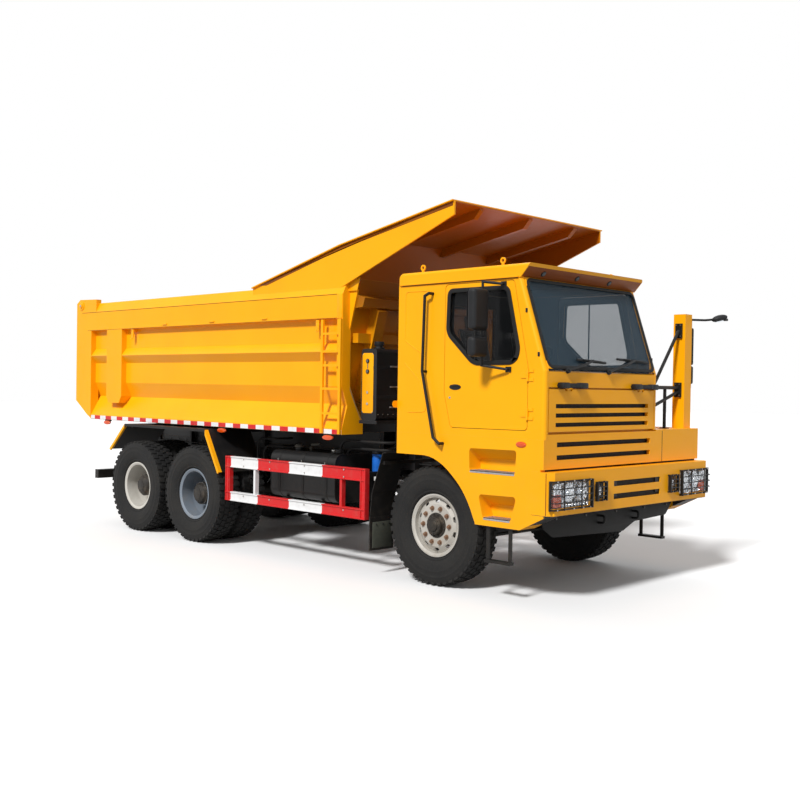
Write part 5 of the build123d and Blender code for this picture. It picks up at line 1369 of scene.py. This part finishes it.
bm = bmesh.new()
stack(bm, -0.93, -1.455, (1.400, 1.440, 0.080, 28, 0.008, 1), (1.180, 1.400, 0.074, 28, 0.006, 0),
      (1.150, 1.180, 0.062, 28, 0.006, 1), (1.060, 1.150, 0.050, 20, 0.006, 2))
box(bm, (-0.98, -1.400, 1.438), (-0.48, -1.500, 1.450), 0.003, 1)
settle("oil_filter", bm, "cabin_plastic", [blue, cab_plastic, white])

# %% [markdown]
# The mirrors on the door get their glass and a rim. The far post carries two mirrors and,
# on an arm, a rounded one that looks down at the bumper.

# %% Mirrors
bm = bmesh.new()
for z0, z1 in ((2.885, 3.281), (2.608, 2.775)):
    rim = rectangle(-1.974, -1.746, z0 - 0.009, z1 + 0.009)
    slab(bm, rectangle(-1.966, -1.754, z0, z1), 0.030, front_plane(0.8945), -0.003, 0.001, 0)
    ring(bm, rim, 0.034, 0.010, front_plane(0.8955), -0.006, 0.002, 1)
settle("door_mirror_glass", bm, "cabin_plastic", [silvered, cab_plastic], "right_door")

bm = bmesh.new()
post_corner = Matrix.Translation(at(1.605, 1.455, 0)) @ Matrix.Rotation(math.radians(45), 4, "Z")
for z0, z1 in ((2.585, 3.045), (2.350, 2.572)):
    box(bm, (-0.100, -0.045, z0), (0.145, 0.031, z1), 0.022, 0, post_corner, 3)
    box(bm, (-0.086, 0.029, z0 + 0.018), (0.131, 0.035, z1 - 0.018), 0.002, 1, post_corner)
for z in (2.42, 3.10):
    bar(bm, (1.519, 1.490, z), (1.530, 1.490, z), 0.034, 20, 0.003)
settle("post_mirror_shells", bm, "cabin_plastic", [cab_plastic, silvered])

bm = bmesh.new()
head = Matrix.Rotation(math.radians(-35), 4, "Z") @ Matrix.Rotation(math.radians(-14), 4, "Y")
head = Matrix.Translation(at(1.893, 1.722, 3.176)) @ head
glass = head @ Matrix.Translation((0, 0, -0.012))
ball(bm, head @ Matrix.Diagonal((0.105, 0.062, 0.044, 1)), 28, 14, 0)
ball(bm, glass @ Matrix.Diagonal((0.090, 0.052, 0.036, 1)), 28, 14, 1)
settle("look_down_mirror", bm, "cabin_plastic", [cab_plastic, silvered])

# %% [markdown]
# The walkway beside the cab has bar tread so that it is safe in rain, and the brackets of
# its braces are bolted through. Along the chassis, two rows of bolts hold the cross
# members to the rails.

# %% Deck tread and chassis bolts
DECK_Z, RAIL_X, POST_U = 1.8065, 0.470, 1.470
POST_FEET = ((1.44, 0.13, 0.14), (1.04, 0.07, 0.07))  # x, half width, half depth


def under_post(x, u):
    """Whether a place on the deck is taken by the post or by the foot of its brace."""
    return any(abs(x - foot_x) < wide and abs(u - POST_U) < deep for foot_x, wide, deep in POST_FEET)


bm = bmesh.new()
for row in range(14):
    odd = row % 2
    turn = Matrix.Rotation(math.radians(45 if odd else -45), 4, "Z")
    for k in range(22):
        x, u = 0.640 + row * 0.064, 1.58 - k * 0.092 - odd * 0.046
        if not under_post(x, u):
            place = Matrix.Translation(at(x, u, DECK_Z)) @ turn
            box(bm, (-0.017, -0.0035, 0), (0.017, 0.0035, 0.0025), 0, 0, place)
settle("deck_tread", bm, "body_paint")

bm = bmesh.new()
for z in (2.275, 3.000):
    for a in (-0.028, 0.028):
        for b in (-0.068, 0.068):
            bolt(bm, (1.335, POST_U + a, z + b), (1.326, POST_U + a, z + b), 0.011)
for side in (-1, 1):
    for k in range(30):
        u = -0.55 - k * 0.225
        for z in (1.100, 1.345):
            bolt(bm, (side * RAIL_X, u, z), (side * (RAIL_X + 0.010), u, z), 0.012)
    for u in (-1.376, -1.344, -3.196, -3.164):
        bolt(bm, (side * (RAIL_X + 0.004), u, 1.205), (side * (RAIL_X + 0.016), u, 1.205), 0.010)
settle("chassis_bolts", bm, "chassis_black", [zinc_dull])

# %% [markdown]
# Brake chambers sit on the drive axles, and the rear bar carries the tail lamps, with two
# red chambers and an orange one between them on each side.

# %% Brake chambers and tail lamps
CHAMBER_STEPS = (  # start and end behind the bracket, radius, edge
    (0.0, 0.075, 0.088, 0.012), (0.075, 0.092, 0.098, 0.003), (0.092, 0.170, 0.085, 0.016),
)
bm = bmesh.new()
for axle_u in (MID_U, REAR_U):
    u = axle_u + 0.155
    for x in (-0.700, 0.700):
        for start, end, radius, edge in CHAMBER_STEPS:
            bar(bm, (x, u + start, 0.800), (x, u + end, 0.800), radius, 24, edge)
        box(bm, (x - 0.06, u + 0.01, 0.700), (x + 0.06, u - 0.008, 0.860), 0.004)
settle("brake_chambers", bm, "chassis_black")

TAIL = back_plane(-7.500)
bm = bmesh.new()
for middle in (1.25, -1.25):
    slab(bm, rectangle(middle - 0.190, middle + 0.190, 0.706, 0.814), 0.012, TAIL, 0.016, 0.004)
    for aside, slot in ((-0.122, 1), (0.0, 2), (0.122, 1)):
        a = middle + aside
        slab(bm, rectangle(a - 0.055, a + 0.055, 0.716, 0.804), 0.010, TAIL, 0.030, 0.007, slot)
settle("tail_lamps", bm, "lamp_lens", [cab_plastic, red_lens, orange_lens])

# %% [markdown]
# The tailgate's hinge ends in a boss on the outside of the bed. Some edges of bed and
# shield are folded over or doubled and throw a thin shadow below them. Dark brown strips
# along these edges are painted shade for that shadow line.

# %% Bed and shield edges
BED_SIDE_X, HINGE_U, HINGE_Z = 1.488, -8.000, 3.520
bm = bmesh.new()
bar(bm, (BED_SIDE_X, HINGE_U, HINGE_Z), (1.500, HINGE_U, HINGE_Z), 0.075, 32, 0.003)
bar(bm, (1.499, HINGE_U, HINGE_Z), (1.512, HINGE_U, HINGE_Z), 0.040, 28, 0.004)
bolt(bm, (1.510, HINGE_U, HINGE_Z), (1.522, HINGE_U, HINGE_Z), 0.020, 2)
slab(bm, rectangle(-1.645, -1.556, 3.096, 3.405), 0.008, side_plane(BED_SIDE_X, 1), 0.010, 0.003)
# Two thin dark strips along each bed side are painted shade under the rail's lips.
for u, z0, z1 in ((-7.98, 3.396, 3.404), (-7.80, 3.103, 3.108)):
    box(bm, (BED_SIDE_X, -1.660, z0), (BED_SIDE_X + 0.0025, u, z1), 0, 1)
mirrored(bm)
settle("bed_edges", bm, "body_paint", [yellow, line_shade, zinc], "bed")

SHIELD_LIP_SHADE = [(-3.270, 3.598), (-1.645, 4.002), (0.220, 4.349), (0.220, 4.303), (-1.645, 3.956),
              (-3.110, 3.592)]
bm = bmesh.new()
slab(bm, SHIELD_LIP_SHADE, 0.001, side_plane(1.4565, 1), 0.004, 0.001)
mirrored(bm)
settle("shield_lip_shade", bm, "body_paint", [line_shade], "bed")

# %% [markdown]
# The slope of the sun visor looks at the ground and lies in shade, so a thin skin of darker
# yellow on it is painted shade. Under the bumper hangs a black under-run plate with the
# lower end of the radiator behind it.

# %% Painted visor shade and under-run plate
LINE_HALF_WIDTH = 0.0015
SHADE_AND_DARK_LINES = (  # x, start and end ahead of the axle, low and high
    (-1.6188, 1.285, -0.395, 3.409, 3.4195), (0.5553, 1.285, -0.395, 3.409, 3.4195),
    (-1.6190, 1.690, 1.680, 0.972, 1.404), (1.6190, 1.690, 1.680, 0.972, 1.404),
)
# A thin skin of darker yellow on the visor's slope is painted shade.
bm = bmesh.new()
slab(bm, rectangle(-1.614, 0.550, -0.069, 0.070), 0.006, VISOR, 0.002, 0.0005)
settle("visor_painted_shade", bm, "body_paint", [visor_shade])

# The lines under the gutters are painted shade; two more dark lines run down the ends of the bumper.
bm = bmesh.new()
for x, u0, u1, z0, z1 in SHADE_AND_DARK_LINES:
    box(bm, (x - LINE_HALF_WIDTH, u0, z0), (x + LINE_HALF_WIDTH, u1, z1))
settle("gutter_shade_and_bumper_lines", bm, "body_paint", [line_shade])

UNDER_RUN = [(-1.400, 0.975), (-1.380, 0.800), (-1.200, 0.690), (0.150, 0.640), (0.400, 0.735),
             (1.100, 0.760), (1.300, 0.975)]
# Under-run plate and radiator end are black steel, painted near-black to stand also for the shade under
# the bumper.
bm = bmesh.new()
slab(bm, UNDER_RUN, 0.030, front_plane(1.470), 0.008, 0.003)
box(bm, (-0.420, 1.440, 0.700), (0.420, 1.120, 1.060), 0.020)
for x in (-0.480, 0.480):
    box(bm, (x - 0.040, 1.460, 0.930), (x + 0.040, 1.100, 1.100), 0.006)
for k in range(9):
    x = -0.360 + k * 0.085
    box(bm, (x, 1.446, 0.72), (x + 0.015, 1.438, 0.90))
for x in (-1.15, -0.60, 0.0, 0.60, 1.10):
    bolt(bm, (x, 1.478, 0.885), (x, 1.488, 0.885), 0.014, 1)
for x in (-0.35, 0.35):
    pipe(bm, [(x, 1.474, 0.78), (x, 1.560, 0.78), (x, 1.560, 0.86), (x, 1.474, 0.86)], 0.014, 0.03)
settle("under_run_plate", bm, "chassis_black", [under_black_and_shade, zinc_dull])

# %% [markdown]
# The seats are foam and cloth, so each cushion is its own crowned form: thick in the
# middle, with sides that pull in between the corners, sewn channels across it and piping
# round its edge. They stand on a sprung base with a rubber bellows.

# %% Seats
WEAVE = 2600.0
SEAT_XS = (-1.000, -0.060)
PIPING = [(-1, -1), (0, -0.955), (1, -1), (0.955, 0), (1, 1), (0, 0.955), (-1, 1), (-0.955, 0), (-1, -1)]


def cloth(name, main, second):
    """Woven seat cloth with worn, paler high spots."""
    finish = Finish(name, Sheen_Weight=0.3, Sheen_Roughness=0.5)
    patch = finish.noise(9, 5).ramp(0.40, 0.72)
    finish.out(Base_Color=finish.mix(patch * 0.6, main, second), Roughness=patch * 0.08 + 0.84)
    warp, weft = (finish.x + finish.z) * WEAVE, (finish.y - finish.z) * WEAVE
    finish.bump(warp.wave() * weft.wave(), 0.35, 0.0006)
    return finish.material


seat_cloth = cloth("seat_cloth", (0.022, 0.023, 0.026), (0.050, 0.051, 0.055))
side_cloth = cloth("side_cloth", (0.010, 0.010, 0.012), (0.030, 0.030, 0.033))


def crowned(x, y, z, wide, deep, thick, channels):
    """Where a point of a plain cube, -1 to 1, goes in a cushion."""
    crown = 0.50 + 0.50 * math.sqrt(max(0, (1 - x ** 4) * (1 - y ** 4)))
    belly = 1 - 0.13 * z * z - 0.02 * (1 - z * z)
    pull_x = 1 - 0.045 * (1 - y * y)
    pull_y = 1 - 0.045 * (1 - x * x)
    groove = sum(math.exp(-((y * deep / 2 - c) / 0.009) ** 2) for c in channels) * max(0, z)
    return (x * wide / 2 * pull_x * belly, y * deep / 2 * pull_y * belly,
            z * thick / 2 * crown - 0.012 * groove * (1 - x ** 6))


def cushion(name, size, place, channels=(), cuts=26):
    """Crowned closed form on place's XY plane, with its sewn channels across Y."""
    wide, deep, thick = size
    bm = bmesh.new()
    bmesh.ops.create_cube(bm, size=2.0)
    bmesh.ops.subdivide_edges(bm, edges=bm.edges, cuts=cuts, use_grid_fill=True)
    for v in bm.verts:
        v.co = crowned(*v.co, *size, channels)
    for face in bm.faces:
        face.material_index = 1 if abs(face.calc_center_median().x) > wide * 0.36 else 0
    for level in (-0.24, 0.24):
        path = [Vector((a * wide * 0.487, b * deep * 0.487, level * thick)) for a, b in PIPING]
        pipe(bm, path, 0.0045, 0.04, 8, 2)
    bmesh.ops.transform(bm, matrix=place, verts=bm.verts)
    piece = settle(name, bm, "seat_fabric", [seat_cloth, side_cloth, cab_plastic], smooth=60)
    return piece


def leaning(x, u, z, degrees):
    """Matrix at a place, tipped about the truck's width."""
    return Matrix.Translation(at(x, u, z)) @ Matrix.Rotation(math.radians(degrees), 4, "X")


for label, x in zip(("driver", "mate"), SEAT_XS):
    seat, back = leaning(x, 0.520, 2.262, -3), leaning(x, 0.215, 2.625, 78)
    rest = leaning(x, 0.155, 3.010, 80)
    cushion(f"{label}_cushion", (0.500, 0.520, 0.135), seat, (-0.10, 0.03, 0.14))
    cushion(f"{label}_back", (0.470, 0.640, 0.125), back, (-0.17, -0.05, 0.08, 0.20))
    cushion(f"{label}_headrest", (0.260, 0.160, 0.090), rest, (), 16)
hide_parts("seats")

FOLDS, FOLD_HIGH = 5, 0.060
bm = bmesh.new()
for x in SEAT_XS:
    box(bm, (x - 0.200, 0.730, 1.800), (x + 0.200, 0.320, 1.840), 0.008)
    for k in range(FOLDS):
        half, low = 0.175 - 0.012 * (k % 2), 1.840 + k * FOLD_HIGH
        box(bm, (x - half, 0.525 + half, low), (x + half, 0.525 - half, low + FOLD_HIGH), 0.024, 1)
    box(bm, (x - 0.225, 0.760, 2.140), (x + 0.225, 0.270, 2.200), 0.014)
    box(bm, (x + 0.225, 0.640, 2.150), (x + 0.262, 0.300, 2.225), 0.012)
    lever = [(x + 0.268, 0.690, 2.185), (x + 0.268, 0.560, 2.185), (x + 0.25, 0.500, 2.185)]
    pipe(bm, lever, 0.009, 0.03, 10)
    for side in (-0.075, 0.075):
        bar(bm, (x + side, 0.165, 2.925), (x + side, 0.150, 3.000), 0.006, 10, 0, 2)
settle("seat_bases", bm, "cabin_plastic", [cab_plastic, seal_rubber, chrome])

# %% [markdown]
# The dash gets what a driver looks at: a binnacle with round dials, two rows of rocker
# switches, air vents, the boss of the steering wheel and three pedals. A gear lever
# stands beside the seat.

# %% Dashboard
DIAL_MARKS, DIAL_START, DIAL_STEP = 11, -135, 27
FACE_WAY = Vector((0, 0.97, 0.24))


def dial(bm, x, radius):
    """Instrument with a rim, a black face, white marks and a needle, tilted to the driver."""
    def place(rise, turned=Vector()):
        return at(x, 1.292, 2.462) + FACE_WAY * rise + turned * radius

    bar(bm, place(0), place(0.006), radius, 32, 0.001, 1)
    bar(bm, place(0.005), place(0.007), radius * 0.90, 32, 0, 3)
    for k in range(DIAL_MARKS):
        angle = math.radians(DIAL_START + k * DIAL_STEP)
        way = Vector((math.sin(angle), -0.24 * math.cos(angle), 0.97 * math.cos(angle)))
        bar(bm, place(0.008, way * 0.72), place(0.008, way * 0.84), 0.0012, 6, 0, 2)
    bar(bm, place(0.009), place(0.009, Vector((-0.48, 0, 0.48))), 0.0014, 6, 0, 4)


bm = bmesh.new()
box(bm, (-1.230, 1.500, 2.400), (-0.770, 1.290, 2.520), 0.030, segments=3)
for x, radius in ((-1.125, 0.050), (-1.000, 0.062), (-0.875, 0.050)):
    dial(bm, x, radius)
for k in range(8):
    x = -0.660 + k * 0.052
    for z in (2.345, 2.310):
        box(bm, (x, 1.266, z), (x + 0.042, 1.240, z + 0.026), 0.004, 1)
for x in (-1.440, -0.450, -0.130, 0.330):
    box(bm, (x - 0.075, 1.300, 2.395), (x + 0.075, 1.252, 2.440), 0.008)
    for k in range(4):
        z = 2.401 + k * 0.009
        box(bm, (x - 0.066, 1.256, z), (x + 0.066, 1.246, z + 0.003), 0, 1)
wheel = toward((-1.000, 1.050, 2.570), (-1.000, 0.800, 2.810)) @ Matrix.Translation((0, 0, 0.012))
boss = bmesh.ops.create_cone(bm, cap_ends=True, segments=32, radius1=0.085, radius2=0.070,
                             depth=0.045, matrix=wheel)["verts"]
dye(faces_of(boss), 1)
box(bm, (-0.600, 0.720, 1.800), (-0.460, 0.480, 1.860), 0.020)
pipe(bm, [(-0.530, 0.600, 1.850), (-0.530, 0.620, 2.250), (-0.530, 0.560, 2.400)], 0.011, 0.12, 12, 4)
ball(bm, Matrix.Translation(at(-0.530, 0.555, 2.415)), 20, 12, 1, 0.030)
for x in (-1.120, -1.000, -0.880):
    box(bm, (x - 0.035, 1.330, 1.950), (x + 0.035, 1.318, 2.060), 0.004, 1)
    bar(bm, (x, 1.330, 2.04), (x, 1.400, 2.180), 0.008, 10, 0, 4)
settle("cab_controls", bm, "cabin_plastic", [cab_plastic, grey_plastic, white, dial_black, zinc])

# %% [markdown]
# The tailgate is stiffened by welded box ribs and has two dull steel lashing plates. A
# rubber flap with bolts hangs on the mudguard behind each front wheel and stops stones.

# %% Tailgate ribs and mudflaps
GATE_U = -8.129
bm = bmesh.new()
for x in (-1.16, -0.58, 0.0, 0.58, 1.16):
    box(bm, (x - 0.050, GATE_U, 2.000), (x + 0.050, GATE_U - 0.031, 3.455), 0.008)
for z, half in ((1.985, 1.180), (2.480, 1.300), (2.960, 1.300), (3.400, 1.300)):
    box(bm, (-half, GATE_U, z), (half, GATE_U - 0.023, z + 0.075), 0.008)
for x in (-0.87, 0.87):
    box(bm, (x - 0.030, GATE_U, 2.240), (x + 0.030, GATE_U - 0.029, 2.300), 0.010, 1)
settle("gate_ribs", bm, "body_paint", [yellow, zinc_dull], "gate")

bm = bmesh.new()
box(bm, (1.240, -0.880, 0.330), (1.560, -0.8925, 0.640), 0.004)
for x in (1.29, 1.40, 1.51):
    bolt(bm, (x, -0.882, 0.615), (x, -0.872, 0.615), 0.010, 1)
mirrored(bm)
settle("stone_flaps", bm, "tyre_rubber", [flap_rubber, zinc_dull])

# %% [markdown]
# A broad black rubber seal frames the rear window, and shallow pressings stiffen the
# cab's rear wall around it.

# %% Rear wall of the cab
REAR_WALL = back_plane(-0.4475)
bm = bmesh.new()
ring(bm, rectangle(0.0383, 1.1618, 2.470, 3.280), 0.070, 0.046, REAR_WALL, 0.012, 0.004)
ring(bm, rectangle(0.0783, 1.1218, 2.510, 3.240), 0.040, 0.020, back_plane(-0.428), -0.003)
settle("rear_window_seal", bm, "cabin_plastic", [seal_rubber])

bm = bmesh.new()
for a in (-0.20, 0.60, 1.40):
    slab(bm, rectangle(a - 0.30, a + 0.30, 2.02, 2.10), 0.036, REAR_WALL, 0.004, 0.003)
for a in (-0.30, 1.50):
    slab(bm, rectangle(a - 0.05, a + 0.05, 2.30, 3.20), 0.045, REAR_WALL, 0.004, 0.003)
settle("back_pressings", bm, "body_paint")
